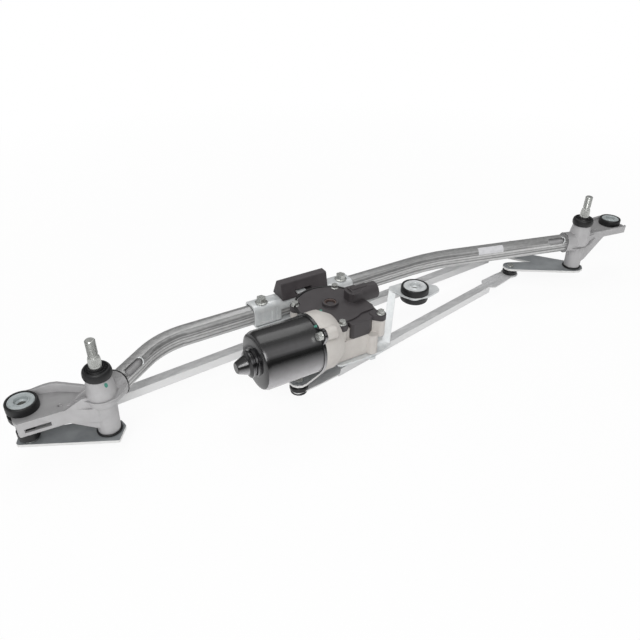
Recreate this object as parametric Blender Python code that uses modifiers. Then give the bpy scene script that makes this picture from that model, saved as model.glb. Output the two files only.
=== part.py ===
# Windshield wiper drive: a motor on a bent tube between two wiper pivots, with its levers and rods.
# All sizes are in millimetres; MM turns them into Blender's metres.
# X runs from the left pivot to the right one, Y points to the back and Z points up.
# Heights are measured from the lower end of the two pivot bearings.
import math

import bmesh
import bpy
from mathutils import Matrix, Vector

MM = 0.001

# Running and seating gaps
SEAT_GAP = 0.3
RUN_GAP = 0.35

# Where the middle of the whole part's box lies, so that the origin is under its middle
CENTRE_X = 3.37
CENTRE_Y = 6.96

# Pivots
PIVOT_SPACING = 679.0
SHAFT_RADIUS = 6.0
SHAFT_TOP = 107.0
THREAD_RADIUS = 5.0
THREAD_LENGTH = 18.0
SPLINE_LENGTH = 9.5
BARREL_RADIUS = 11.0
BARREL_HEIGHT = 67.0
CONE_RADIUS = 15.0
CONE_START = 38.0
BUSH_WALL = 1.8
BUSH_INSET = 1.0
SEAL_RADIUS = 14.2
SEAL_HEIGHT = 12.5
WASHER_RADIUS = 10.4
WASHER_THICKNESS = 1.0

# Tube
TUBE_HEIGHT = 40.0
TUBE_WIDTH = 18.5
TUBE_DEPTH = 23.0
TUBE_WALL = 1.8
TUBE_BACK = 58.5
TUBE_START = 25.0
LEFT_TUBE_ANGLE = 37.0
RIGHT_TUBE_ANGLE = 14.5
LEFT_BEND_RADIUS = 85.0
RIGHT_BEND_RADIUS = 260.0
PLUG_LENGTH = 32.0
TUBE_CREASE = 1.1
DIMPLE_RADIUS = 4.2
DIMPLE_LENGTH = 18.0
DIMPLE_DEPTH = 1.0
SOCKET_WALL = 2.6

# Mounting arms of the pivots
ARM_THICKNESS = 4.0
ARM_RIM = 3.2
ARM_RIM_HEIGHT = 7.0
ARM_WINDOW = 5.5
LEFT_ARM_HEIGHT = 29.0
RIGHT_ARM_HEIGHT = 43.0
ARM_REACH = 75.0
LEFT_ARM_ANGLE = 155.0
RIGHT_ARM_ANGLE = 5.0
WEB_THICKNESS = 3.4

# Rubber mounts
GROMMET_RADIUS = 17.0
GROMMET_GROOVE = 11.5
GROMMET_TOP = 8.0
GROMMET_BOTTOM = 7.5
SLEEVE_RADIUS = 7.5
SLEEVE_BORE = 4.5
SLEEVE_FLANGE_RADIUS = 14.2
SLEEVE_FLANGE = 1.8

# Facets of the small round pieces
ROUND_STEPS = 14
BALL_STEPS = 5

# Levers and ball joints
LEVER_THICKNESS = 3.0
LEVER_TOP = -(2 * SEAT_GAP + WASHER_THICKNESS)
LEFT_LEVER_RADIUS = 75.0
LEFT_LEVER_ANGLE = 159.0
LEFT_LEVER_WIDTH = 27.0
DRIVE_LEVER_RADIUS = 90.0
DRIVE_LEVER_ANGLE = 150.0
LINK_LEVER_RADIUS = 88.0
LINK_LEVER_ANGLE = 125.0
BALL_RADIUS = 6.0
BALL_NECK = 3.6
BALL_FLANGE = 8.0
BALL_GRIP = 4.2
BALL_CLEARANCE = 0.65
STUD_FLANGE = 1.5
SOCKET_RADIUS = 10.4
SOCKET_CROWN = 4.2
ROD_EYE = 8.6
LINK_BALL_HEIGHT = 7.6
LEFT_BALL_HEIGHT = 5.0
CRANK_BALL_HEIGHT = -12.0
DRIVE_BALL_HEIGHT = -8.6

# Link and drive rods: channels open below with flat ends
ROD_SHEET = 1.5
ROD_WIDTH = 12.0
ROD_DEPTH = 10.0
ROD_END_WIDTH = 24.0
ROD_END_LENGTH = 52.0
LINK_ROD_TOP = 13.0
DRIVE_ROD_TOP = -12.6

# Motor output and crank
HUB_X = -86.0
HUB_Y = -5.0
CRANK_RADIUS = 58.0
CRANK_ANGLE = 203.0
CRANK_WIDTH = 22.0
OUTPUT_RADIUS = 5.0
OUTPUT_BOSS_RADIUS = 10.0
OUTPUT_BOSS_BOTTOM = 2.5
OUTPUT_LOWEST = -11.6
OUTPUT_HIGHEST = 58.0
CRANK_NUT_WIDTH = 16.0
CRANK_NUT_HEIGHT = 5.5

# Motor
WORM_OFFSET = 31.0
WORM_HEIGHT = 50.0
CAN_RADIUS = 31.5
CAN_WALL = 2.0
CAN_LEFT = -196.0
CAN_RIGHT = -132.0
CAN_EDGE = 6.0
COLLAR_RADIUS = 15.0
COLLAR_LENGTH = 8.0
NOSE_RADIUS = 9.0
NOSE_TIP = 5.6
NOSE_LENGTH = 12.0
FLANGE_THICKNESS = 3.0
FLANGE_EAR_RADIUS = 37.0
MAGNET_THICKNESS = 5.0
MAGNET_LENGTH = 42.0
ARMATURE_RADIUS = 21.0
ARMATURE_LENGTH = 36.0
ARMATURE_SHAFT_RADIUS = 4.0
WORM_RADIUS = 5.6
WORM_LENGTH = 34.0
WORM_CLEARANCE = 1.2
COMMUTATOR_RADIUS = 11.0
COMMUTATOR_LENGTH = 14.0

# Gear housing and its cover
HOUSING_BOTTOM = 22.0
HOUSING_TOP = 60.0
HOUSING_RADIUS = 36.5
GEAR_RADIUS = 24.6
GEAR_THICKNESS = 11.0
GEAR_TEETH = 28
GEAR_TOOTH = 2.2
HOUSING_RIGHT = -50.0
HOUSING_FRONT = 14.5
COVER_THICKNESS = 7.6
COVER_WALL = 2.6
COVER_BOSS_RADIUS = 9.0
COVER_BOSS_HEIGHT = 3.6
BOX_BOTTOM = 48.0
BOX_TOP = 66.0
BOX_LEFT = -87.0
LUG_DROP = 1.2
RIDGE_HALF = 9.6
PLUG_RADIUS = 10.0
PLUG_SHELL = 2.0
PLUG_Y = -7.0
PLUG_START = -62.0
PLUG_END = -28.0
PLUG_HEIGHT = 71.0
SCREW_HEAD = 4.2
SCREW_SHANK = 2.2
CAN_SCREW_HEAD = 4.8

# Motor bracket and its clamp over the tube
SHEET = 2.5
BRACKET_TOP = 21.6
CLAMP_LEFT = -154.0
CLAMP_RIGHT = -20.0
CLAMP_BOLT_LEFT = -140.5
CLAMP_BOLT_RIGHT = -32.0
BOLT_RADIUS = 3.0
BOLT_HEAD_WIDTH = 10.0
BOLT_FLANGE_RADIUS = 7.5
WELD_NUT = 4.5
BLOCK_LEFT = -118.0
BLOCK_RIGHT = -57.0
BLOCK_HEIGHT = 20.0
BLOCK_FRONT = 46.0
BLOCK_BACK = 70.0
TAB_TOP = 50.0
RAMP_WIDTH = 9.0
TAB_X = 33.0
TAB_Y = -7.5

PART_NAME = "wiper_linkage"

for old in list(bpy.data.objects):
    bpy.data.objects.remove(old, do_unlink=True)

parts = bpy.data.collections.new(PART_NAME)
cutters = bpy.data.collections.new("cutters")
bpy.context.scene.collection.children.link(parts)
bpy.context.scene.collection.children.link(cutters)


def material(name, colour, roughness, metallic):
    made = bpy.data.materials.new(name)
    made.use_nodes = True
    shader = made.node_tree.nodes["Principled BSDF"]
    shader.inputs["Base Color"].default_value = (*colour, 1.0)
    shader.inputs["Roughness"].default_value = roughness
    shader.inputs["Metallic"].default_value = metallic
    return made


GALVANISED = ("galvanised_steel", (0.45, 0.45, 0.46), 0.38, 0.9)
CASTING = ("die_cast_alloy", (0.40, 0.39, 0.38), 0.6, 0.7)
GEAR_CASTING = ("gear_housing_alloy", (0.46, 0.43, 0.39), 0.6, 0.6)
ZINC = ("zinc_plate", (0.62, 0.64, 0.65), 0.3, 0.9)
LEVER_STEEL = ("lever_steel", (0.28, 0.31, 0.34), 0.4, 0.8)
ROD_STEEL = ("rod_steel", (0.52, 0.53, 0.53), 0.4, 0.85)
BRIGHT = ("bright_steel", (0.7, 0.7, 0.7), 0.25, 1.0)
CAN_BLACK = ("black_enamel", (0.012, 0.012, 0.013), 0.25, 0.0)
PLASTIC = ("dark_plastic", (0.09, 0.085, 0.087), 0.6, 0.0)
RUBBER = ("black_rubber", (0.02, 0.02, 0.022), 0.7, 0.0)
BLOCK_RUBBER = ("grey_rubber", (0.055, 0.05, 0.052), 0.8, 0.0)
BRONZE = ("sintered_bronze", (0.45, 0.28, 0.13), 0.5, 0.9)
NYLON = ("gear_nylon", (0.75, 0.72, 0.62), 0.5, 0.0)
FERRITE = ("magnet_ferrite", (0.08, 0.08, 0.085), 0.7, 0.0)
COPPER = ("copper", (0.6, 0.27, 0.15), 0.35, 1.0)
LAMINATION = ("armature_iron", (0.3, 0.3, 0.3), 0.5, 0.9)

made_materials = {}


def finish_of(finish):
    if finish[0] not in made_materials:
        made_materials[finish[0]] = material(*finish)
    return made_materials[finish[0]]


def polar(centre, radius, degrees):
    angle = math.radians(degrees)
    return (centre[0] + radius * math.cos(angle), centre[1] + radius * math.sin(angle))


def along(start, end, distance):
    """A point at a distance from start on the line to end, and that line's unit direction."""
    direction = (Vector(end) - Vector(start)).normalized()
    point = Vector(start) + direction * distance
    return (point.x, point.y), direction


# Fixed points of the linkage, seen from above
LEFT_PIVOT = (-PIVOT_SPACING / 2, 0.0)
RIGHT_PIVOT = (PIVOT_SPACING / 2, 0.0)
HUB = (HUB_X, HUB_Y)
LEFT_STUD = polar(LEFT_PIVOT, LEFT_LEVER_RADIUS, LEFT_LEVER_ANGLE)
DRIVE_STUD = polar(RIGHT_PIVOT, DRIVE_LEVER_RADIUS, DRIVE_LEVER_ANGLE)
LINK_STUD = polar(RIGHT_PIVOT, LINK_LEVER_RADIUS, LINK_LEVER_ANGLE)
CRANK_PIN = polar(HUB, CRANK_RADIUS, CRANK_ANGLE)
LEFT_GROMMET = polar(LEFT_PIVOT, ARM_REACH, LEFT_ARM_ANGLE)
RIGHT_GROMMET = polar(RIGHT_PIVOT, ARM_REACH, RIGHT_ARM_ANGLE)
CENTRE_GROMMET = (TAB_X, TAB_Y)
CAN_AXIS_Y = HUB_Y - WORM_OFFSET

# Bodies: each moving piece hangs under an empty on its own axis
bodies = {}


def body(name, place, parent=None):
    empty = bpy.data.objects.new(name, None)
    parts.objects.link(empty)
    origin = Vector(place)
    if parent:
        empty.parent = bodies[parent][0]
        empty.location = (origin - bodies[parent][1]) * MM
    else:
        empty.location = origin * MM
    bodies[name] = (empty, origin)


def own(piece, body_name, finish):
    """Hangs a finished piece under its body and gives it its material."""
    empty, origin = bodies[body_name]
    piece.data.materials.clear()
    piece.data.materials.append(finish_of(finish))
    piece.parent = empty
    piece.location -= origin * MM
    return piece


def guide(piece):
    """Keeps a cutter or a joined half out of the finished part."""
    for holder in list(piece.users_collection):
        holder.objects.unlink(piece)
    cutters.objects.link(piece)
    piece.hide_render = True
    piece.display_type = "WIRE"
    return piece


def mesh_object(name, work, place=(0, 0, 0)):
    mesh = bpy.data.meshes.new(name)
    work.to_mesh(mesh)
    work.free()
    piece = bpy.data.objects.new(name, mesh)
    parts.objects.link(piece)
    piece.location = Vector(place) * MM
    return piece


def turned(name, profile, place, steps=24, axis="Z", smooth=True):
    """A turned piece: the profile is (radius, height) pairs from top to bottom on the outer side."""
    work = bmesh.new()
    ring = [work.verts.new((radius * MM, 0.0, height * MM)) for radius, height in profile]
    for first, second in zip(ring, ring[1:]):
        work.edges.new((first, second))
    if profile[0][0] > 0.0:
        work.edges.new((ring[-1], ring[0]))
    piece = mesh_object(name, work, place)
    screw = piece.modifiers.new("turn", "SCREW")
    screw.steps = steps
    screw.render_steps = steps
    screw.use_merge_vertices = True
    screw.merge_threshold = 0.00001
    screw.use_smooth_shade = smooth
    if axis == "X":
        piece.rotation_euler = (0.0, math.pi / 2, 0.0)
    return piece


def arc_about(centre, radius, start, end, count):
    steps = [start + (end - start) * i / count for i in range(count + 1)]
    return [polar(centre, radius, degrees) for degrees in steps]


def circle(centre, radius, count=24):
    return [polar(centre, radius, 360.0 * i / count) for i in range(count)]


def rounded(corners, step=24.0):
    """A closed outline through (x, y, radius) corners, each rounded by its own radius."""
    outline = []
    for index, (x, y, radius) in enumerate(corners):
        here = Vector((x, y))
        before = Vector(corners[index - 1][:2]) - here
        after = Vector(corners[(index + 1) % len(corners)][:2]) - here
        outline += fillet(here, before, after, radius, step)
    return outline


def fillet(here, before, after, radius, step):
    """The arc of the given radius that rounds one corner, or the corner itself."""
    opening = before.angle(after)
    if radius <= 0.0 or opening > math.pi - 0.01:
        return [(here.x, here.y)]
    reach = min(radius / math.tan(opening / 2), before.length * 0.49, after.length * 0.49)
    radius = reach * math.tan(opening / 2)
    first = here + before.normalized() * reach
    middle = (before.normalized() + after.normalized()).normalized()
    centre = here + middle * (radius / math.sin(opening / 2))
    start = first - centre
    turn = math.pi - opening
    side = 1.0 if before.x * after.y - before.y * after.x < 0.0 else -1.0
    count = max(2, math.ceil(math.degrees(turn) / step))
    points = []
    for i in range(count + 1):
        angle = side * turn * i / count
        spin = Matrix.Rotation(angle, 2)
        point = centre + spin @ start
        points.append((point.x, point.y))
    return points


def hull_of_two(first, first_radius, second, second_radius, count=6):
    """The outline of a band stretched round two circles."""
    line = Vector(second) - Vector(first)
    heading = math.degrees(math.atan2(line.y, line.x))
    lean = math.degrees(math.acos((first_radius - second_radius) / line.length))
    near = arc_about(first, first_radius, heading + lean, heading + 360.0 - lean, count)
    far = arc_about(second, second_radius, heading - lean, heading + lean, count)
    return near + far


def plate(name, outline, low, high, holes=()):
    """A flat piece cut from sheet or plate, from height low to high, with its holes."""
    data = bpy.data.curves.new(name, "CURVE")
    data.dimensions = "2D"
    data.fill_mode = "BOTH"
    data.extrude = (high - low) / 2 * MM
    for loop in (outline, *holes):
        spline = data.splines.new("POLY")
        spline.points.add(len(loop) - 1)
        for point, (x, y) in zip(spline.points, loop):
            point.co = (x * MM, y * MM, 0.0, 1.0)
        spline.use_cyclic_u = True
    flat = bpy.data.objects.new(name, data)
    parts.objects.link(flat)
    flat.location = (0.0, 0.0, (low + high) / 2 * MM)
    return as_mesh(flat)


def as_mesh(curve):
    """The curve's evaluated form as a welded mesh object in the same place."""
    name = curve.name
    bpy.context.view_layer.update()
    evaluated = curve.evaluated_get(bpy.context.evaluated_depsgraph_get())
    mesh = bpy.data.meshes.new_from_object(evaluated)
    work = bmesh.new()
    work.from_mesh(mesh)
    bmesh.ops.remove_doubles(work, verts=work.verts, dist=0.000001)
    bmesh.ops.recalc_face_normals(work, faces=work.faces)
    work.to_mesh(mesh)
    work.free()
    place = curve.matrix_world.copy()
    bpy.data.objects.remove(curve, do_unlink=True)
    piece = bpy.data.objects.new(name, mesh)
    parts.objects.link(piece)
    piece.matrix_world = place
    return piece


def upright(name, outline, centre, heading, thickness):
    """A plate on edge: its outline's x runs along the heading and its y runs up."""
    piece = plate(name, outline, -thickness / 2, thickness / 2)
    stand = Matrix.Rotation(math.radians(heading), 4, "Z") @ Matrix.Rotation(math.pi / 2, 4, "X")
    piece.matrix_world = Matrix.Translation(Vector((*centre, 0.0)) * MM) @ stand
    return piece


def combine(piece, other, operation):
    modifier = piece.modifiers.new(operation.lower(), "BOOLEAN")
    modifier.operation = operation
    modifier.solver = "EXACT"
    modifier.object = guide(other)
    return piece


def fuse(piece, *others):
    for other in others:
        combine(piece, other, "UNION")
    return piece


def cut(piece, *others):
    for other in others:
        combine(piece, other, "DIFFERENCE")
    return piece


def rod_cutter(name, centre, radius, low, high, steps=24):
    """An upright cylinder, as a pin or as the drill for a hole."""
    return plate(name, circle(centre, radius, steps), low, high)


def smooth_round(piece, degrees=32.0):
    piece.data.shade_smooth()
    piece.data.set_sharp_from_angle(angle=math.radians(degrees))
    return piece


def box(name, low, high):
    centre = [(a + b) / 2 for a, b in zip(low, high)]
    outline = [(low[0], low[1]), (high[0], low[1]), (high[0], high[1]), (low[0], high[1])]
    outline = [(x - centre[0], y - centre[1]) for x, y in outline]
    piece = plate(name, outline, low[2] - centre[2], high[2] - centre[2])
    piece.location = Vector(centre) * MM
    return piece


LOWEST_Z = DRIVE_ROD_TOP - ROD_DEPTH
CLAMP_BOLT_Y = TUBE_BACK - 2.0
body("frame_body", (CENTRE_X, CENTRE_Y, LOWEST_Z))
bodies["frame_body"][0].location = (0.0, 0.0, 0.0)
body("crank_body", (*HUB, 0.0), "frame_body")
body("armature_body", (HUB_X, CAN_AXIS_Y, WORM_HEIGHT), "frame_body")
body("right_pivot_body", (*RIGHT_PIVOT, 0.0), "frame_body")
body("left_pivot_body", (*LEFT_PIVOT, 0.0), "frame_body")
body("link_rod_body", (*LINK_STUD, 0.0), "right_pivot_body")
body("drive_rod_body", (*CRANK_PIN, 0.0), "crank_body")


# Tube

def tube_corners():
    """The tube's centre line from above: two straight legs to the pivots and a straight middle."""
    left_run = TUBE_BACK / math.tan(math.radians(LEFT_TUBE_ANGLE))
    right_run = TUBE_BACK / math.tan(math.radians(RIGHT_TUBE_ANGLE))
    left_corner = (LEFT_PIVOT[0] + left_run, TUBE_BACK)
    right_corner = (RIGHT_PIVOT[0] - right_run, TUBE_BACK)
    start, _ = along(LEFT_PIVOT, left_corner, TUBE_START)
    end, _ = along(RIGHT_PIVOT, right_corner, TUBE_START)
    return start, left_corner, right_corner, end


def tube_path():
    start, left_corner, right_corner, end = tube_corners()
    path = [start]
    for here, before, after, radius in (
        (left_corner, start, right_corner, LEFT_BEND_RADIUS),
        (right_corner, left_corner, end, RIGHT_BEND_RADIUS),
    ):
        here = Vector(here)
        path += fillet(here, Vector(before) - here, Vector(after) - here, radius, 5.0)
    return path + [end]


def oval(width, depth, count=16):
    """The tube's section: an upright oval, flattened on its sides."""
    points = []
    for i in range(count):
        angle = 2 * math.pi * i / count
        across = abs(math.cos(angle)) ** 0.8 * math.copysign(1.0, math.cos(angle))
        points.append((width / 2 * across, depth / 2 * math.sin(angle)))
    return points


def creased(width, depth, crease):
    """The tube's section: flat-sided, with a shallow crease along the middle of each side."""
    half = width / 2
    high = depth / 2
    quarter = [(0.0, high), (half * 0.62, high * 0.9), (half * 0.94, high * 0.6), (half, high * 0.3)]
    right_side = quarter + [(half - crease, 0.0)] + [(x, -y) for x, y in reversed(quarter)]
    return right_side + [(-x, y) for x, y in reversed(right_side[1:-1])]


def swept(name, path, section, height, caps):
    """A section carried along a level path."""
    shape = bpy.data.curves.new(name + "_section", "CURVE")
    shape.dimensions = "2D"
    spline = shape.splines.new("POLY")
    spline.points.add(len(section) - 1)
    for point, (x, y) in zip(spline.points, section):
        point.co = (x * MM, y * MM, 0.0, 1.0)
    spline.use_cyclic_u = True
    holder = bpy.data.objects.new(name + "_section", shape)
    cutters.objects.link(holder)
    guide(holder)
    data = bpy.data.curves.new(name, "CURVE")
    data.dimensions = "3D"
    data.twist_mode = "Z_UP"
    data.bevel_mode = "OBJECT"
    data.bevel_object = holder
    data.use_fill_caps = caps
    line = data.splines.new("POLY")
    line.points.add(len(path) - 1)
    for point, (x, y) in zip(line.points, path):
        point.co = (x * MM, y * MM, height * MM, 1.0)
    curve = bpy.data.objects.new(name, data)
    parts.objects.link(curve)
    return as_mesh(curve)


def crimp(name, pivot, corner, mirror):
    """The long dimple that presses the tube into the plug of its pivot, on the upper front side."""
    middle = TUBE_START + PLUG_LENGTH * 0.55
    place, ahead = along(pivot, corner, middle)
    slot = hull_of_two((-DIMPLE_LENGTH / 2, 0.0), DIMPLE_RADIUS, (DIMPLE_LENGTH / 2, 0.0), DIMPLE_RADIUS)
    dimple = plate(name, slot, 0.0, 10.0)
    heading = math.atan2(corner[1] - pivot[1], corner[0] - pivot[0])
    lean = math.radians(40.0 if mirror else -40.0)
    reach = TUBE_DEPTH / 2 - 0.1 - DIMPLE_DEPTH
    turn = Matrix.Rotation(heading, 4, "Z") @ Matrix.Rotation(lean, 4, "X")
    dimple.matrix_world = Matrix.Translation(Vector((*place, TUBE_HEIGHT)) * MM) @ turn
    dimple.matrix_world = dimple.matrix_world @ Matrix.Translation(Vector((0.0, 0.0, reach)) * MM)
    return dimple


def make_tube():
    section = creased(TUBE_WIDTH, TUBE_DEPTH, TUBE_CREASE)
    tube = swept("frame_tube", tube_path(), section, TUBE_HEIGHT, False)
    wall = tube.modifiers.new("wall", "SOLIDIFY")
    wall.thickness = TUBE_WALL * MM
    wall.offset = -1.0
    wall.use_even_offset = True
    for index, x in enumerate((CLAMP_BOLT_LEFT, CLAMP_BOLT_RIGHT)):
        cut(tube, rod_cutter("tube_bolt_hole_%d" % index, (x, CLAMP_BOLT_Y), BOLT_RADIUS + SEAT_GAP,
                             TUBE_HEIGHT - TUBE_DEPTH, TUBE_HEIGHT + TUBE_DEPTH, 10))
    corners = tube_corners()
    for side, pivot, corner in (("left", LEFT_PIVOT, corners[1]), ("right", RIGHT_PIVOT, corners[2])):
        cut(tube, crimp(side + "_crimp", pivot, corner, side == "left"))
    smooth_round(tube)
    own(tube, "frame_body", GALVANISED)


# Pivot housings

def tube_leg(pivot, corner, name, start, end, width, depth):
    """A straight oval bar along one leg of the tube, from one distance off the pivot to another."""
    first, _ = along(pivot, corner, start)
    last, _ = along(pivot, corner, end)
    return swept(name, [first, last], oval(width, depth), TUBE_HEIGHT, True)


def arm_frame(pivot, angle, mirror):
    """Turns arm coordinates (along the arm, across it) into places."""
    turn = math.radians(angle)

    def place(point):
        x, y = point[0], point[1] * mirror
        moved = (
            pivot[0] + x * math.cos(turn) - y * math.sin(turn),
            pivot[1] + x * math.sin(turn) + y * math.cos(turn),
        )
        return (*moved, *point[2:])

    return place


def make_housing(side, pivot, corner, arm_angle, arm_height, mirror, front_edge, front_tip, skirt):
    name = side + "_pivot_housing"
    place = arm_frame(pivot, arm_angle, mirror)
    barrel = turned(name, [
        (0.0, BARREL_HEIGHT),
        (BARREL_RADIUS + 0.5, BARREL_HEIGHT),
        (CONE_RADIUS - 1.5, BARREL_HEIGHT - 12.0),
        (CONE_RADIUS, CONE_START + 3.0),
        (CONE_RADIUS - 0.8, CONE_START - 2.0),
        (BARREL_RADIUS + 1.2, CONE_START - 3.2),
        (BARREL_RADIUS, 1.0),
        (BARREL_RADIUS - 1.0, 0.0),
        (0.0, 0.0),
    ], (*pivot, 0.0), 24)
    socket_width = TUBE_WIDTH + 2 * SOCKET_WALL
    socket_depth = TUBE_DEPTH + 2 * SOCKET_WALL
    socket = tube_leg(pivot, corner, side + "_socket", 4.0, TUBE_START - SEAT_GAP, socket_width, socket_depth)
    inner_width = TUBE_WIDTH - 2 * (TUBE_WALL + TUBE_CREASE + SEAT_GAP)
    inner_depth = TUBE_DEPTH - 2 * (TUBE_WALL + SEAT_GAP) - 2.0
    plug = tube_leg(pivot, corner, side + "_plug", 12.0, TUBE_START + PLUG_LENGTH, inner_width, inner_depth)

    floor = arm_height
    reach = ARM_REACH
    outline = [
        (0.0, -13.0, 4.0),
        (reach * 0.42, -11.5, 16.0),
        (reach + front_tip, -front_edge, 1.5),
        (reach + front_tip + 7.0, -front_edge + 9.0, 4.0),
        (reach + 13.0, 0.0, 8.0),
        (reach + 11.0, 21.0, 4.0),
        (reach * 0.62, 25.0, 26.0),
        (reach * 0.2, 20.0, 12.0),
        (0.0, 14.0, 4.0),
    ]
    arm = plate(side + "_arm", rounded([place(c) for c in outline]), floor - skirt, floor + ARM_RIM_HEIGHT)
    inset = ARM_RIM
    pocket_outline = [
        (9.0, -10.0, 3.0),
        (reach * 0.42, -11.5 + inset, 14.0),
        (reach + front_tip - 1.0, -front_edge + inset * 1.1, 2.0),
        (reach + 40.0, -front_edge + inset * 1.1, 2.0),
        (reach + 40.0, 21.0 - inset, 2.0),
        (reach + 9.0, 21.0 - inset, 8.0),
        (reach * 0.62, 25.0 - inset, 24.0),
        (reach * 0.2, 20.0 - inset, 10.0),
        (9.0, 10.0, 3.0),
    ]
    loop = rounded([place(c) for c in pocket_outline])
    upper = plate(side + "_arm_pocket", loop, floor + ARM_THICKNESS, floor + 30.0)
    lower = plate(side + "_arm_underside", loop, floor - 30.0, floor)
    heading = math.degrees(math.atan2(place((1.0, 0.0))[1] - pivot[1], place((1.0, 0.0))[0] - pivot[0]))
    web_outline = [(6.0, 5.0), (14.0, 5.0), (reach * 0.55, floor - 1.0), (reach * 0.55, floor + 2.0), (6.0, floor + 2.0)]
    web = upright(side + "_web", web_outline, pivot, heading, WEB_THICKNESS)
    rib_top = min(floor + 24.0, BARREL_HEIGHT - SEAL_HEIGHT + 3.0)
    web_top = max(floor + ARM_RIM_HEIGHT + 2.0, TUBE_HEIGHT + 8.0)
    rib_outline = [(8.0, floor + 1.0), (reach * 0.5, floor + 1.0), (12.0, rib_top), (8.0, rib_top)]
    rib = upright(side + "_rib", rib_outline, pivot, heading, WEB_THICKNESS)
    front_start = place((2.0, -8.0))
    front_end = place((reach * 0.6, -12.5))
    run = Vector(front_end) - Vector(front_start)
    front_web_outline = [(0.0, 9.0), (8.0, 11.0), (run.length, floor - 1.5), (run.length, floor + 3.0),
                         (30.0, floor + ARM_RIM_HEIGHT + 1.0), (14.0, web_top), (0.0, web_top)]
    front_web = upright(side + "_front_web", front_web_outline, front_start,
                        math.degrees(math.atan2(run.y, run.x)), WEB_THICKNESS)
    cut(arm, upper, lower)
    if skirt > ARM_WINDOW:
        for index, (first, last) in enumerate(((24.0, 35.0), (46.0, 68.0))):
            window = [(first, -40.0, 1.0), (last, -40.0, 1.0), (last, -6.0, 1.0), (first, -6.0, 1.0)]
            cut(arm, plate("%s_arm_window_%d" % (side, index), rounded([place(c) for c in window]),
                           floor - ARM_WINDOW, floor - 1.0))
    fuse(barrel, arm, socket, plug, web, rib, front_web)
    grommet = polar(pivot, ARM_REACH, arm_angle)
    bore = SHAFT_RADIUS + RUN_GAP + BUSH_WALL + SEAT_GAP
    cut(
        barrel,
        rod_cutter(side + "_bore", pivot, bore, -5.0, BARREL_HEIGHT + 5.0, 18),
        rod_cutter(side + "_grommet_hole", grommet, GROMMET_GROOVE + SEAT_GAP, floor - 20.0, floor + 40.0, 20),
        rod_cutter(side + "_weep_hole", place((reach * 0.55, 0.0)), 2.4, floor - 20.0, floor + 40.0, 12),
    )
    smooth_round(barrel)
    own(barrel, "frame_body", CASTING)


def ring(name, centre, inner, outer, low, high, body_name, finish, steps=16):
    made = turned(name, [(outer, high), (outer, low), (inner, low), (inner, high)], (*centre, 0.0), steps)
    smooth_round(made)
    return own(made, body_name, finish)


def make_pivot_fittings(side, pivot):
    inner = SHAFT_RADIUS + RUN_GAP
    ring(side + "_pivot_bush", pivot, inner, inner + BUSH_WALL, BUSH_INSET, BARREL_HEIGHT - BUSH_INSET,
         "frame_body", BRONZE)
    top = BARREL_HEIGHT + SEAL_HEIGHT * 0.65
    bottom = top - SEAL_HEIGHT
    barrel_clear = BARREL_RADIUS + 1.4
    seal = turned(side + "_seal_cap", [
        (SEAL_RADIUS - 3.6, top),
        (SEAL_RADIUS - 1.4, top - 1.0),
        (SEAL_RADIUS, top - 3.4),
        (SEAL_RADIUS + 0.2, bottom + 5.0),
        (SEAL_RADIUS - 0.6, bottom + 1.6),
        (SEAL_RADIUS - 1.4, bottom),
        (barrel_clear, bottom),
        (barrel_clear, BARREL_HEIGHT + SEAT_GAP),
        (inner, BARREL_HEIGHT + SEAT_GAP),
        (inner, top + 1.0),
        (SHAFT_RADIUS + 2.0, top + 1.0),
        (SHAFT_RADIUS + 2.4, top - 0.6),
        (SEAL_RADIUS - 4.2, top - 0.6),
    ], (*pivot, 0.0), 20)
    smooth_round(seal)
    own(seal, "frame_body", RUBBER)


def make_shaft(side, pivot):
    body_name = side + "_pivot_body"
    spline_top = SHAFT_TOP - THREAD_LENGTH
    lever_bottom = LEVER_TOP - LEVER_THICKNESS
    shaft = turned(side + "_wiper_shaft", [
        (0.0, SHAFT_TOP),
        (THREAD_RADIUS - 1.0, SHAFT_TOP),
        (THREAD_RADIUS, SHAFT_TOP - 1.0),
        (THREAD_RADIUS, spline_top + 1.6),
        (THREAD_RADIUS - 0.7, spline_top + 1.2),
        (THREAD_RADIUS - 0.7, spline_top),
        (THREAD_RADIUS + 0.2, spline_top - 0.4),
        (SHAFT_RADIUS, spline_top - SPLINE_LENGTH),
        (SHAFT_RADIUS, -SEAT_GAP),
        (WASHER_RADIUS, -SEAT_GAP),
        (WASHER_RADIUS, -SEAT_GAP - WASHER_THICKNESS),
        (SHAFT_RADIUS, -SEAT_GAP - WASHER_THICKNESS),
        (SHAFT_RADIUS, lever_bottom - SEAT_GAP),
        (SHAFT_RADIUS + 1.8, lever_bottom - SEAT_GAP),
        (SHAFT_RADIUS + 1.2, lever_bottom - SEAT_GAP - 1.6),
        (0.0, lever_bottom - SEAT_GAP - 1.6),
    ], (*pivot, 0.0), 16)
    smooth_round(shaft)
    own(shaft, body_name, BRIGHT)


# Rubber mounts

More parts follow.
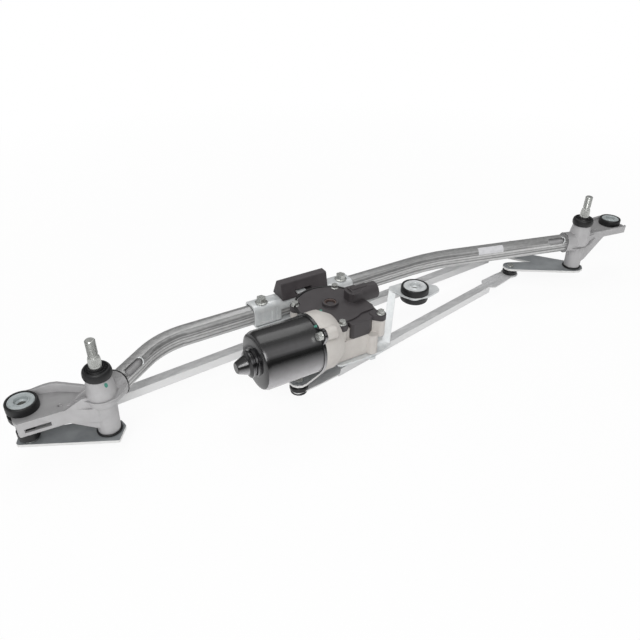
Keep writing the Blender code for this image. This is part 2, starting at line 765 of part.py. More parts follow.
def make_mount(side, centre, floor, thickness):
    top = floor + thickness
    sleeve_gap = SLEEVE_RADIUS + SEAT_GAP
    rubber = turned(side + "_grommet", [
        (GROMMET_RADIUS - 1.5, top + SEAT_GAP + GROMMET_TOP),
        (GROMMET_RADIUS, top + SEAT_GAP + GROMMET_TOP - 1.5),
        (GROMMET_RADIUS, top + SEAT_GAP),
        (GROMMET_GROOVE, top + SEAT_GAP),
        (GROMMET_GROOVE, floor - SEAT_GAP),
        (GROMMET_RADIUS, floor - SEAT_GAP),
        (GROMMET_RADIUS, floor - SEAT_GAP - GROMMET_BOTTOM + 1.5),
        (GROMMET_RADIUS - 1.5, floor - SEAT_GAP - GROMMET_BOTTOM),
        (sleeve_gap, floor - SEAT_GAP - GROMMET_BOTTOM),
        (sleeve_gap, top + SEAT_GAP + GROMMET_TOP),
    ], (*centre, 0.0), 22)
    smooth_round(rubber)
    own(rubber, "frame_body", RUBBER)
    flange_bottom = top + GROMMET_TOP + 2 * SEAT_GAP
    sleeve = turned(side + "_mount_sleeve", [
        (SLEEVE_FLANGE_RADIUS - 0.5, flange_bottom + SLEEVE_FLANGE),
        (SLEEVE_FLANGE_RADIUS, flange_bottom + SLEEVE_FLANGE - 0.5),
        (SLEEVE_FLANGE_RADIUS, flange_bottom),
        (SLEEVE_RADIUS, flange_bottom),
        (SLEEVE_RADIUS, floor - GROMMET_BOTTOM - 1.0),
        (SLEEVE_BORE, floor - GROMMET_BOTTOM - 1.0),
        (SLEEVE_BORE, flange_bottom + SLEEVE_FLANGE),
    ], (*centre, 0.0), 18)
    smooth_round(sleeve)
    own(sleeve, "frame_body", ZINC)


# Levers and ball studs

def make_left_lever():
    bottom = LEVER_TOP - LEVER_THICKNESS
    place = arm_frame(LEFT_PIVOT, LEFT_LEVER_ANGLE, -1.0)
    wide = LEFT_LEVER_WIDTH / 2
    corners = [
        (LEFT_LEVER_RADIUS + 12.0, -wide * 0.6, 4.0),
        (LEFT_LEVER_RADIUS + 12.0, wide * 0.75, 3.0),
        (18.0, wide + 2.5, 8.0),
        (-10.0, wide - 2.0, 3.0),
        (-15.5, wide * 0.2, 4.0),
        (-10.5, -wide - 4.4, 2.0),
    ]
    lever = plate("left_lever", rounded([place(c) for c in corners], 15.0), bottom, LEVER_TOP,
                  [circle(LEFT_PIVOT, SHAFT_RADIUS + SEAT_GAP), circle(LEFT_STUD, BALL_NECK + SEAT_GAP)])
    own(lever, "left_pivot_body", LEVER_STEEL)


def make_right_lever():
    """A plate with one arm to the drive rod and a second arm, further back, to the link rod."""
    bottom = LEVER_TOP - LEVER_THICKNESS
    drive_arm = hull_of_two(RIGHT_PIVOT, 16.0, DRIVE_STUD, 11.0)
    link_arm = hull_of_two(RIGHT_PIVOT, 14.0, LINK_STUD, 11.0)
    lever = plate("right_lever", drive_arm, bottom, LEVER_TOP)
    other = plate("right_lever_link_arm", link_arm, bottom, LEVER_TOP)
    fuse(lever, other)
    cut(
        lever,
        rod_cutter("right_lever_bore", RIGHT_PIVOT, SHAFT_RADIUS + SEAT_GAP, -20.0, 20.0),
        rod_cutter("drive_stud_bore", DRIVE_STUD, BALL_NECK + SEAT_GAP, -20.0, 20.0),
        rod_cutter("link_stud_bore", LINK_STUD, BALL_NECK + SEAT_GAP, -20.0, 20.0),
    )
    own(lever, "right_pivot_body", LEVER_STEEL)


def ball_stud(name, centre, body_name, ball_height, direction, limit):
    """A ball on a neck with a flange seated on the lever, riveted over on the lever's far side.
    The ball is flattened where it would pass the limit height."""
    near = LEVER_TOP if direction > 0 else LEVER_TOP - LEVER_THICKNESS
    far = LEVER_TOP - LEVER_THICKNESS if direction > 0 else LEVER_TOP
    seat = near + direction * SEAT_GAP
    rivet = far - direction * SEAT_GAP
    profile = []
    for i in range(BALL_STEPS + 1):
        angle = math.pi / 2 - (math.pi * 0.78) * i / BALL_STEPS
        height = direction * ball_height + BALL_RADIUS * math.sin(angle)
        if direction * seat + STUD_FLANGE + 0.2 < height < direction * limit:
            profile.append((BALL_RADIUS * math.cos(angle), height))
    if ball_height * direction + BALL_RADIUS < direction * limit:
        profile[0] = (0.0, profile[0][1])
    else:
        radius = math.sqrt(BALL_RADIUS ** 2 - (direction * (limit - ball_height)) ** 2)
        profile = [(0.0, direction * limit), (radius, direction * limit)] + profile
    start = direction * seat
    profile += [
        (BALL_NECK, start + STUD_FLANGE),
        (BALL_FLANGE, start + STUD_FLANGE),
        (BALL_FLANGE, start),
        (BALL_NECK, start),
        (BALL_NECK, direction * rivet),
        (BALL_NECK + 1.6, direction * rivet),
        (BALL_NECK + 1.0, direction * rivet - 1.3),
        (0.0, direction * rivet - 1.3),
    ]
    if direction < 0:
        profile = [(radius, -height) for radius, height in reversed(profile)]
    stud = turned(name, profile, (*centre, 0.0), ROUND_STEPS)
    smooth_round(stud)
    own(stud, body_name, BRIGHT)


def ball_socket(name, centre, body_name, ball_height, plate_top, direction, through):
    """A moulded socket round a ball. With through it passes the rod's eye and closes above it;
    without, it stops under the rod and leaves the joint open."""
    cavity = BALL_RADIUS + BALL_CLEARANCE
    plate_low = plate_top - ROD_SHEET
    near = plate_low if direction > 0 else plate_top
    far = plate_top if direction > 0 else plate_low
    middle = direction * ball_height
    lever_face = LEVER_TOP if direction > 0 else LEVER_THICKNESS - LEVER_TOP
    skirt_end = max(middle - BALL_GRIP, lever_face + SEAT_GAP + STUD_FLANGE + 0.4)
    seat = direction * near - SEAT_GAP
    profile = []
    if through:
        crown = direction * far + SOCKET_CROWN
        profile += [(0.0, crown), (SOCKET_RADIUS - 3.0, crown), (SOCKET_RADIUS - 1.0, crown - 1.5)]
        profile += [(SOCKET_RADIUS - 1.0, direction * far + SEAT_GAP)]
        profile += [(ROD_EYE - SEAT_GAP, direction * far + SEAT_GAP)]
        profile += [(ROD_EYE - SEAT_GAP, seat), (SOCKET_RADIUS, seat)]
    else:
        profile += [(cavity * 0.75, seat), (SOCKET_RADIUS, seat)]
    profile += [(SOCKET_RADIUS, skirt_end + 1.0), (SOCKET_RADIUS - 1.0, skirt_end)]
    low_angle = -math.asin((middle - skirt_end) / cavity)
    top_angle = math.pi / 2 if through else math.asin(min(1.0, (seat - middle) / cavity))
    inner = []
    for i in range(BALL_STEPS):
        angle = low_angle + (top_angle - low_angle) * i / (BALL_STEPS - 1)
        inner.append((cavity * math.cos(angle), middle + cavity * math.sin(angle)))
    if through:
        inner[-1] = (0.0, inner[-1][1])
        profile += inner
    else:
        profile = [(SOCKET_RADIUS, seat)] + profile[2:] + inner
    if direction < 0:
        profile = [(radius, -height) for radius, height in reversed(profile)]
    socket = turned(name, profile, (*centre, 0.0), ROUND_STEPS)
    smooth_round(socket)
    own(socket, body_name, RUBBER)


def end_cap(name, centre, body_name, plate_top, direction):
    """The closed end of a socket whose ball side belongs to the other half of an open joint."""
    plate_low = plate_top - ROD_SHEET
    near = plate_low if direction > 0 else plate_top
    far = plate_top if direction > 0 else plate_low
    crown = direction * far + SOCKET_CROWN
    low = direction * near + 0.2
    profile = [
        (0.0, crown),
        (SOCKET_RADIUS - 3.0, crown),
        (SOCKET_RADIUS - 1.0, crown - 1.5),
        (SOCKET_RADIUS - 1.0, direction * far + SEAT_GAP),
        (ROD_EYE - SEAT_GAP, direction * far + SEAT_GAP),
        (ROD_EYE - SEAT_GAP, low),
        (0.0, low),
    ]
    if direction < 0:
        profile = [(radius, -height) for radius, height in reversed(profile)]
    cap = turned(name, profile, (*centre, 0.0), ROUND_STEPS)
    smooth_round(cap)
    own(cap, body_name, RUBBER)


# Rods

def make_rod(name, start, end, top, body_name):
    """A pressed channel, open below, whose web widens into a flat eye at each end."""
    line = Vector(end) - Vector(start)
    length = line.length
    half = ROD_WIDTH / 2
    wide = ROD_END_WIDTH / 2
    place = arm_frame(start, math.degrees(math.atan2(line.y, line.x)), 1.0)
    flat = ROD_END_LENGTH
    corners = [
        (-9.0, -wide + 4.0, 6.0),
        (flat * 0.45, -wide + 1.0, 30.0),
        (flat, -wide, 4.0),
        (flat + 7.0, -half, 3.0),
        (length - flat - 7.0, -half, 3.0),
        (length - flat, -wide, 4.0),
        (length - flat * 0.45, -wide + 1.0, 30.0),
        (length + 9.0, -wide + 4.0, 6.0),
        (length + 9.0, wide - 4.0, 6.0),
        (length - flat * 0.45, wide - 1.0, 30.0),
        (length - flat, wide, 4.0),
        (length - flat - 7.0, half, 3.0),
        (flat + 7.0, half, 3.0),
        (flat, wide, 4.0),
        (flat * 0.45, wide - 1.0, 30.0),
        (-9.0, wide - 4.0, 6.0),
    ]
    web = plate(name, rounded([place(c) for c in corners]), top - ROD_SHEET, top,
                [circle(start, ROD_EYE, 20), circle(end, ROD_EYE, 20)])
    bottom = top - ROD_DEPTH
    first = flat + 4.0
    last = length - flat - 4.0
    for side_name, side in (("_front_flange", -1.0), ("_back_flange", 1.0)):
        outer = side * (half - 0.05)
        inner = side * (half - ROD_SHEET)
        strip = [(first, min(outer, inner)), (last, min(outer, inner)), (last, max(outer, inner)), (first, max(outer, inner))]
        flange = plate(name + side_name, [place(p) for p in strip], bottom, top - ROD_SHEET / 2)
        fuse(web, flange)
    smooth_round(web)
    own(web, body_name, ROD_STEEL)


# Motor

def make_can():
    """The deep-drawn motor can: a cup with a rounded edge, a collar and a nose for the rear bearing."""
    length = CAN_RIGHT - CAN_LEFT
    inner = CAN_RADIUS - CAN_WALL
    profile = [
        (0.0, length + COLLAR_LENGTH + NOSE_LENGTH),
        (NOSE_TIP, length + COLLAR_LENGTH + NOSE_LENGTH),
        (NOSE_TIP + 1.0, length + COLLAR_LENGTH + NOSE_LENGTH - 1.2),
        (NOSE_RADIUS + 0.6, length + COLLAR_LENGTH + 3.4),
        (NOSE_RADIUS + 1.2, length + COLLAR_LENGTH + 1.2),
        (COLLAR_RADIUS - 2.2, length + COLLAR_LENGTH),
        (COLLAR_RADIUS - 0.6, length + COLLAR_LENGTH - 1.0),
        (COLLAR_RADIUS - 0.6, length + COLLAR_LENGTH - 3.0),
        (COLLAR_RADIUS - 2.2, length + COLLAR_LENGTH - 3.6),
        (COLLAR_RADIUS - 2.2, length + COLLAR_LENGTH - 5.0),
        (COLLAR_RADIUS, length + COLLAR_LENGTH - 5.6),
        (COLLAR_RADIUS, length + 0.8),
        (COLLAR_RADIUS + 1.0, length),
        (CAN_RADIUS - CAN_EDGE, length),
        (CAN_RADIUS - CAN_EDGE * 0.3, length - CAN_EDGE * 0.3),
        (CAN_RADIUS, length - CAN_EDGE),
        (CAN_RADIUS, 0.2 - FLANGE_THICKNESS),
        (inner, 0.2 - FLANGE_THICKNESS),
        (inner, length - CAN_WALL - 3.0),
        (inner - 3.0, length - CAN_WALL),
        (NOSE_RADIUS, length - CAN_WALL),
        (NOSE_RADIUS - 1.5, length + COLLAR_LENGTH - 2.0),
        (0.0, length + COLLAR_LENGTH - 2.0),
    ]
    can = turned("motor_can", profile, (0, 0, 0), 30)
    ears = flange_plate("can_flange", -FLANGE_THICKNESS, 0.0)
    fuse(can, ears)
    carry(can, lying((CAN_RIGHT, CAN_AXIS_Y, WORM_HEIGHT)))
    for index, angle in enumerate(EAR_ANGLES):
        cut(can, cross_drill("can_screw_hole_%d" % index, angle, 20.0))
    smooth_round(can)
    own(can, "frame_body", CAN_BLACK)


EAR_ANGLES = (45.0, 225.0)


def lying(place):
    """Lays a piece made upright on its side: its own Z comes to point along the negative X."""
    return Matrix.Translation(Vector(place) * MM) @ Matrix.Rotation(-math.pi / 2, 4, "Y")


def carry(piece, matrix):
    """Moves a piece together with the pieces that cut it or are joined to it."""
    bpy.context.view_layer.update()
    for modifier in piece.modifiers:
        if modifier.type == "BOOLEAN":
            carry(modifier.object, matrix)
    piece.matrix_world = matrix @ piece.matrix_world


def ear_place(angle):
    """Where a flange ear lies on the real motor, as (y, z), for an angle above the front."""
    turn = math.radians(angle)
    return (CAN_AXIS_Y - FLANGE_EAR_RADIUS * math.cos(turn), WORM_HEIGHT + FLANGE_EAR_RADIUS * math.sin(turn))


def cross_drill(name, angle, length):
    y, z = ear_place(angle)
    drill = plate(name, circle((0.0, 0.0), SCREW_SHANK + SEAT_GAP, 10), -length, length)
    carry(drill, lying((CAN_RIGHT, y, z)))
    return drill


def flange_plate(name, low, high):
    """The round flange at the can's open end with its two screw ears, about the can's own axis."""
    opening = CAN_RADIUS - CAN_WALL / 2
    round_plate = plate(name, circle((0.0, 0.0), CAN_RADIUS + 1.5, 32), low, high, [circle((0.0, 0.0), opening, 32)])
    outer = FLANGE_EAR_RADIUS + 6.5
    for index, angle in enumerate(EAR_ANGLES):
        place = arm_frame((0.0, 0.0), angle - 90.0, 1.0)
        corners = [(opening + 0.4, -9.0, 0.0), (outer, -5.0, 5.0), (outer, 5.0, 5.0), (opening + 0.4, 9.0, 0.0)]
        ear = plate(name + "_ear_%d" % index, rounded([place(c) for c in corners]), low + 0.1, high - 0.1)
        fuse(round_plate, ear)
    return round_plate


def mouth_shape(name, spare):
    """The round mouth that takes the motor can, or with some spare the room for it in the cover."""
    wide = CAN_RADIUS + 1.0 + spare
    narrow = CAN_RADIUS - 6.0 + spare
    profile = [(0.0, spare), (wide, spare), (wide, -14.0 - spare), (narrow, -26.0 - spare), (0.0, -26.0 - spare)]
    mouth = turned(name, profile, (0, 0, 0), 28)
    carry(mouth, lying((CAN_RIGHT + FLANGE_THICKNESS + SEAT_GAP, CAN_AXIS_Y, WORM_HEIGHT)))
    return mouth


def inward(place):
    """A point 7 mm nearer the gear's axis, for the webs of the screw bosses."""
    way = Vector(HUB) - Vector(place)
    return tuple(Vector(place) + way.normalized() * 7.0)


def make_gear_housing():
    """The die-cast gear housing: a round gear pot, a worm tunnel and a round mouth for the motor can."""
    mouth_left = CAN_RIGHT + FLANGE_THICKNESS + SEAT_GAP
    front = CAN_AXIS_Y - HOUSING_FRONT
    pot = rod_cutter("gear_housing", HUB, HOUSING_RADIUS, HOUSING_BOTTOM, HOUSING_TOP, 32)
    tunnel_outline = [
        (mouth_left + 12.0, front, 5.0),
        (HOUSING_RIGHT - 14.0, front, 5.0),
        (HOUSING_RIGHT, front + 14.0, 6.0),
        (HOUSING_RIGHT, CAN_AXIS_Y + 20.0, 4.0),
        (mouth_left + 12.0, CAN_AXIS_Y + 30.0, 4.0),
    ]
    tunnel = plate("worm_tunnel_body", rounded(tunnel_outline), HOUSING_BOTTOM + 0.3, BOX_BOTTOM - SEAT_GAP)
    ridge = box("worm_tunnel_ridge", (mouth_left + 14.0, CAN_AXIS_Y - RIDGE_HALF, BOX_BOTTOM - 4.0),
                (HOUSING_RIGHT - 2.0, CAN_AXIS_Y + RIDGE_HALF, HOUSING_TOP - 0.4))
    mouth = mouth_shape("motor_mouth", 0.0)
    boss = rod_cutter("output_boss", HUB, OUTPUT_BOSS_RADIUS, OUTPUT_BOSS_BOTTOM, HOUSING_BOTTOM + 2.0)
    pieces = [tunnel, ridge, mouth, boss]
    for index, (x, y) in enumerate(BRACKET_BOSSES):
        pieces.append(rod_cutter("mount_boss_%d" % index, (x, y), 6.5, HOUSING_BOTTOM + 0.1, HOUSING_BOTTOM + 24.0, 14))
    for index, (x, y) in enumerate(COVER_SCREWS):
        pieces.append(plate("cover_boss_%d" % index, hull_of_two((x, y), 5.5, inward((x, y)), 5.5),
                            HOUSING_TOP - 20.0, HOUSING_TOP - 0.2))
    for index, angle in enumerate(EAR_ANGLES):
        y, z = ear_place(angle)
        lug = plate("ear_lug_%d" % index, circle((0.0, 0.0), 7.0, 14), -12.0, -0.2)
        carry(lug, lying((mouth_left, y, z)))
        pieces.append(lug)
    fuse(pot, *pieces)
    gear_room = GEAR_RADIUS + 2.4
    worm_room = WORM_RADIUS + WORM_CLEARANCE
    motor_room = plate("motor_room", circle((0.0, 0.0), CAN_RADIUS - 5.0, 24), -10.0, 5.0)
    carry(motor_room, lying((mouth_left, CAN_AXIS_Y, WORM_HEIGHT)))
    worm_bore = plate("worm_bore", circle((0.0, 0.0), worm_room, 14), mouth_left - HOUSING_RIGHT + 6.0, -9.0)
    carry(worm_bore, lying((mouth_left, CAN_AXIS_Y, WORM_HEIGHT)))
    cut(
        pot,
        rod_cutter("gear_room", HUB, gear_room, WORM_HEIGHT - GEAR_THICKNESS / 2 - 2.0, HOUSING_TOP + 10.0, 24),
        motor_room,
        worm_bore,
        rod_cutter("output_bore", HUB, OUTPUT_RADIUS + RUN_GAP, -10.0, HOUSING_TOP, 24),
    )
    for index, (x, y) in enumerate(BRACKET_BOSSES):
        cut(pot, rod_cutter("mount_hole_%d" % index, (x, y), BOLT_RADIUS + SEAT_GAP, HOUSING_BOTTOM - 10.0,
                            HOUSING_BOTTOM + 15.0, 10))
    for index, (x, y) in enumerate(COVER_SCREWS):
        cut(pot, rod_cutter("cover_hole_%d" % index, (x, y), SCREW_SHANK + SEAT_GAP, HOUSING_TOP - 13.0,
                            HOUSING_TOP + 10.0, 10))
    for index, angle in enumerate(EAR_ANGLES):
        y, z = ear_place(angle)
        drill = plate("lug_hole_%d" % index, circle((0.0, 0.0), SCREW_SHANK + SEAT_GAP, 10), -9.0, 5.0)
        carry(drill, lying((mouth_left, y, z)))
        cut(pot, drill)
    smooth_round(pot)
    own(pot, "frame_body", GEAR_CASTING)


COVER_SCREWS = [polar(HUB, HOUSING_RADIUS + 2.4, 150.8), polar(HUB, HOUSING_RADIUS + 3.1, 256.9),
                (HOUSING_RIGHT + 2.5, CAN_AXIS_Y - HOUSING_FRONT + 3.0), polar(HUB, HOUSING_RADIUS + 2.0, 50.0)]
BRACKET_BOSSES = [(HOUSING_RIGHT - 9.0, CAN_AXIS_Y - HOUSING_FRONT + 0.5), polar(HUB, HOUSING_RADIUS - 4.0, 40.0),
                  polar(HUB, HOUSING_RADIUS - 4.0, 130.0)]


def make_cover():
    """The moulded gear cover with the boss over the output shaft, the brush box and the plug shell."""
    low = HOUSING_TOP + SEAT_GAP
    high = low + COVER_THICKNESS
    cover = rod_cutter("gear_cover", HUB, HOUSING_RADIUS + 0.8, low, high, 32)
    pieces = []
    for index, (x, y) in enumerate(COVER_SCREWS):
        pieces.append(plate("cover_lug_%d" % index, hull_of_two((x, y), 6.0, inward((x, y)), 6.0), low + 0.2,
                            high - LUG_DROP + 0.2))
    front = CAN_AXIS_Y - HOUSING_FRONT
    box_outline = [
        (BOX_LEFT, front + 3.0, 1.5),
        (BOX_LEFT + 3.0, front, 1.5),
        (HOUSING_RIGHT - 14.0, front, 3.0),
        (HOUSING_RIGHT + 3.6, front + 12.0, 2.0),
        (HOUSING_RIGHT + 5.0, HUB_Y - 22.0, 4.0),
        (HOUSING_RIGHT - 5.0, HUB_Y - 8.0, 4.0),
        (HUB_X + 8.0, HUB_Y - 20.0, 2.0),
        (BOX_LEFT, HUB_Y - 27.0, 2.0),
    ]
    under = BOX_BOTTOM - 10.0
    gap = 2 * SEAT_GAP
    brush_box = plate("brush_box", rounded(box_outline), BOX_BOTTOM, BOX_TOP)
    pot_room = rod_cutter("cover_pot_room", HUB, HOUSING_RADIUS + gap, under, low + 1.0, 32)
    ridge_room = box("cover_ridge_room", (BOX_LEFT - 30.0, CAN_AXIS_Y - RIDGE_HALF - gap, under),
                     (HOUSING_RIGHT - 2.0 + gap, CAN_AXIS_Y + RIDGE_HALF + gap, low + 0.7))
    cut(brush_box, pot_room, ridge_room)
    for index, (x, y) in enumerate(COVER_SCREWS):
        cut(brush_box, plate("boss_room_%d" % index, hull_of_two((x, y), 5.9, inward((x, y)), 5.9), under - 1.0,
                             low + 0.9))
    pieces.append(brush_box)
    step = [(BOX_LEFT - 3.0, HUB_Y - 25.0, 1.0), (BOX_LEFT + 6.0, front + 8.0, 1.0), (BOX_LEFT + 12.5, front + 13.8, 1.0),
            (HOUSING_RIGHT + 1.0, front + 14.8, 1.0), (HOUSING_RIGHT + 4.4, HUB_Y - 24.0, 2.0),
            (HOUSING_RIGHT + 2.0, HUB_Y - 2.0, 6.0), (HUB_X + 20.0, HUB_Y + 12.0, 4.0), (HUB_X, HUB_Y, 0.0)]
    pieces.append(plate("cover_step", rounded(step), BOX_TOP - 1.0, high - 0.02))
    shell_length = PLUG_END - PLUG_START
    shell = turned("plug_shell", [(0.0, shell_length), (PLUG_RADIUS, shell_length), (PLUG_RADIUS, 0.0), (0.0, 0.0)],
                   (PLUG_START, PLUG_Y, PLUG_HEIGHT), 24, "X")
    pieces.append(shell)
    base_half = PLUG_RADIUS - 0.6
    base = [(PLUG_START - 4.0, PLUG_Y - base_half + 4.0, 1.0), (PLUG_START, PLUG_Y - base_half, 1.0),
            (PLUG_START + 12.0, PLUG_Y - base_half, 0.6), (PLUG_START + 12.0, PLUG_Y + base_half, 0.6),
            (PLUG_START, PLUG_Y + base_half, 1.0), (PLUG_START - 4.0, PLUG_Y + base_half - 4.0, 1.0)]
    pieces.append(plate("plug_base", rounded(base), high - 1.0, PLUG_HEIGHT + PLUG_RADIUS - 2.2))
    pieces.append(box("plug_rib", (PLUG_START + 2.0, PLUG_Y - 3.0, PLUG_HEIGHT), (PLUG_START + 22.0, PLUG_Y + 3.0,
                                                                                 PLUG_HEIGHT + PLUG_RADIUS + 0.6)))
    boss = rod_cutter("shaft_boss", HUB, COVER_BOSS_RADIUS, high - 2.0, high + COVER_BOSS_HEIGHT)
    fuse(cover, *pieces, boss)
    depth = 16.0
    bore = PLUG_RADIUS - PLUG_SHELL
    hollow = plate("plug_hollow", circle((0.0, 0.0), bore, 22), -10.0, depth)
    carry(hollow, lying((PLUG_END, PLUG_Y, PLUG_HEIGHT)))
    gear_space = rod_cutter("cover_gear_space", HUB, GEAR_RADIUS + 3.0, under, high - COVER_WALL, 24)
    cut(
        cover,
        hollow,
        mouth_shape("cover_mouth_room", 0.6),
        gear_space,
        rod_cutter("boss_hollow", HUB, COVER_BOSS_RADIUS - 2.0, high - 0.2, high + 20.0),
    )
    for index, (x, y) in enumerate(COVER_SCREWS):
        cut(cover, rod_cutter("lug_hole_cover_%d" % index, (x, y), SCREW_SHANK + SEAT_GAP, under, high + 20.0, 10))
        cut(cover, rod_cutter("lug_face_%d" % index, (x, y), 5.6, high - LUG_DROP, high + 21.0, 12))
    smooth_round(cover)
    own(cover, "frame_body", PLASTIC)


def hex_outline(centre, across, turn=0.0):
    return [polar(centre, across / 2 / math.cos(math.pi / 6), turn + 60.0 * i) for i in range(6)]


def screw_down(name, centre, seat, length, head_width, head_height, shank, flange, flange_height, body_name):
    """A hexagon screw with a round flange, its head up and seated at the given height."""
    head = plate(name, hex_outline(centre, head_width), seat + flange_height * 0.5, seat + flange_height + head_height)
    collar = turned(name + "_flange", [
        (0.0, seat + flange_height), (head_width / 2, seat + flange_height), (flange, seat + 0.4), (flange, seat), (0.0, seat),
    ], (*centre, 0.0), ROUND_STEPS)
    pin = rod_cutter(name + "_shank", centre, shank, seat - length, seat + flange_height * 0.5, 10)
    fuse(head, collar, pin)
    own(head, body_name, BRIGHT)
    return head


def make_cover_screws():
    seat = HOUSING_TOP + SEAT_GAP + COVER_THICKNESS - LUG_DROP + SEAT_GAP
    for index, centre in enumerate(COVER_SCREWS):
        screw_down("cover_screw_%d" % (index + 1), centre, seat, 15.0, 6.5, 3.0, SCREW_SHANK, SCREW_HEAD + 0.6, 1.2,
                   "frame_body")


def make_can_screws():
    for index, angle in enumerate(EAR_ANGLES):
        y, z = ear_place(angle)
        name = "can_screw_%d" % (index + 1)
        head = plate(name, hex_outline((0.0, 0.0), 8.0), 0.6, 5.0)
        collar = turned(name + "_flange", [(0.0, 1.4), (4.2, 1.4), (CAN_SCREW_HEAD, 0.4), (CAN_SCREW_HEAD, 0.0), (0.0, 0.0)], (0, 0, 0), ROUND_STEPS)
        pin = rod_cutter(name + "_shank", (0.0, 0.0), SCREW_SHANK, -10.0, 1.0, 10)
        fuse(head, collar, pin)
        carry(head, lying((CAN_RIGHT - SEAT_GAP, y, z)))
        own(head, "frame_body", BRIGHT)


# Inside the motor

def laid(name, profile, x, steps=24):
    """A turned piece about the motor's axis: its profile runs from the left end to the right one."""
    piece = turned(name, profile, (x, CAN_AXIS_Y, WORM_HEIGHT), steps)
    piece.rotation_euler = (0.0, -math.pi / 2, 0.0)
    return smooth_round(piece)


def make_motor_inside():
    room = CAN_RADIUS - CAN_WALL - SEAT_GAP
    middle = (CAN_LEFT + CAN_RIGHT) / 2 - 4.0
    half = ARMATURE_LENGTH / 2
    for index, centre in enumerate((90.0, 270.0)):
        outline = arc_about((0.0, 0.0), room, centre - 62.0, centre + 62.0, 14)
        outline += arc_about((0.0, 0.0), room - MAGNET_THICKNESS, centre + 62.0, centre - 62.0, 14)
        magnet = plate("magnet_%d" % (index + 1), outline, -MAGNET_LENGTH / 2, MAGNET_LENGTH / 2)
        carry(magnet, lying((middle, CAN_AXIS_Y, WORM_HEIGHT)))
        smooth_round(magnet)
        own(magnet, "frame_body", FERRITE)
    bearing_bore = ARMATURE_SHAFT_RADIUS + RUN_GAP
    rear_fit = NOSE_RADIUS - 1.5 - SEAT_GAP
    rear = laid("rear_bearing", [(rear_fit, 3.0), (rear_fit, -3.0), (bearing_bore, -3.0), (bearing_bore, 3.0)],
                CAN_LEFT - 2.2, 20)
    own(rear, "frame_body", BRONZE)
    front_fit = WORM_RADIUS + WORM_CLEARANCE - SEAT_GAP
    front_x = CAN_RIGHT + FLANGE_THICKNESS + SEAT_GAP + 14.0
    front = laid("front_bearing", [(front_fit, 3.0), (front_fit, -3.0), (bearing_bore, -3.0), (bearing_bore, 3.0)],
                 front_x, 20)
    own(front, "frame_body", BRONZE)
    brush_x = CAN_RIGHT - 5.0
    plate_bore = COMMUTATOR_RADIUS + 1.4
    holder = laid("brush_plate", [(room, 1.5), (room, -1.5), (plate_bore, -1.5), (plate_bore, 1.5)], brush_x, 28)
    own(holder, "frame_body", PLASTIC)
    worm_end = HUB_X + WORM_LENGTH / 2
    profile = []
    groove = 4.2
    worm_start = HUB_X - WORM_LENGTH / 2
    left_end = CAN_LEFT - 5.0
    x_now = left_end
    profile.append((0.0, 0.0))
    profile.append((ARMATURE_SHAFT_RADIUS, 0.0))
    profile.append((ARMATURE_SHAFT_RADIUS, left_end - worm_start))
    x_now = worm_start
    while x_now + groove <= worm_end:
        profile.append((WORM_RADIUS, left_end - x_now - 0.5))
        profile.append((WORM_RADIUS, left_end - x_now - 1.4))
        profile.append((ARMATURE_SHAFT_RADIUS, left_end - x_now - 2.1))
        x_now += groove
    profile.append((ARMATURE_SHAFT_RADIUS - 0.6, left_end - x_now - 1.0))
    profile.append((0.0, left_end - x_now - 1.0))
    shaft = laid("armature_shaft", profile, left_end, 12)
    own(shaft, "armature_body", BRIGHT)
    fit = ARMATURE_SHAFT_RADIUS + SEAT_GAP
    outline = []
    for index in range(8):
        start = index * 45.0
        outline += arc_about((0.0, 0.0), ARMATURE_RADIUS, start + 4.0, start + 41.0, 3)
        outline += [polar((0.0, 0.0), ARMATURE_RADIUS - 7.0, start + 41.0)]
        outline += [polar((0.0, 0.0), ARMATURE_RADIUS - 7.0, start + 49.0)]
    core = plate("armature_core", outline, -half, half, [circle((0.0, 0.0), fit, 16)])
    carry(core, lying((middle, CAN_AXIS_Y, WORM_HEIGHT)))
    coil_radius = ARMATURE_RADIUS - 8.0
    for name, x in (("rear_winding", middle - half + 1.0), ("front_winding", middle + half + 6.0)):
        coil = laid(name, [
            (fit + 3.0, 7.0), (coil_radius - 2.0, 7.0), (coil_radius, 5.0), (coil_radius, 0.0), (fit + 3.0, 0.0),
        ], x, 12)
        fuse(core, coil)
    smooth_round(core)
    own(core, "armature_body", LAMINATION)
    commutator_x = CAN_RIGHT + 2.0
    commutator = laid("commutator", [
        (COMMUTATOR_RADIUS, COMMUTATOR_LENGTH), (COMMUTATOR_RADIUS, 0.0), (fit, 0.0), (fit, COMMUTATOR_LENGTH),
    ], commutator_x, 24)
    own(commutator, "armature_body", COPPER)


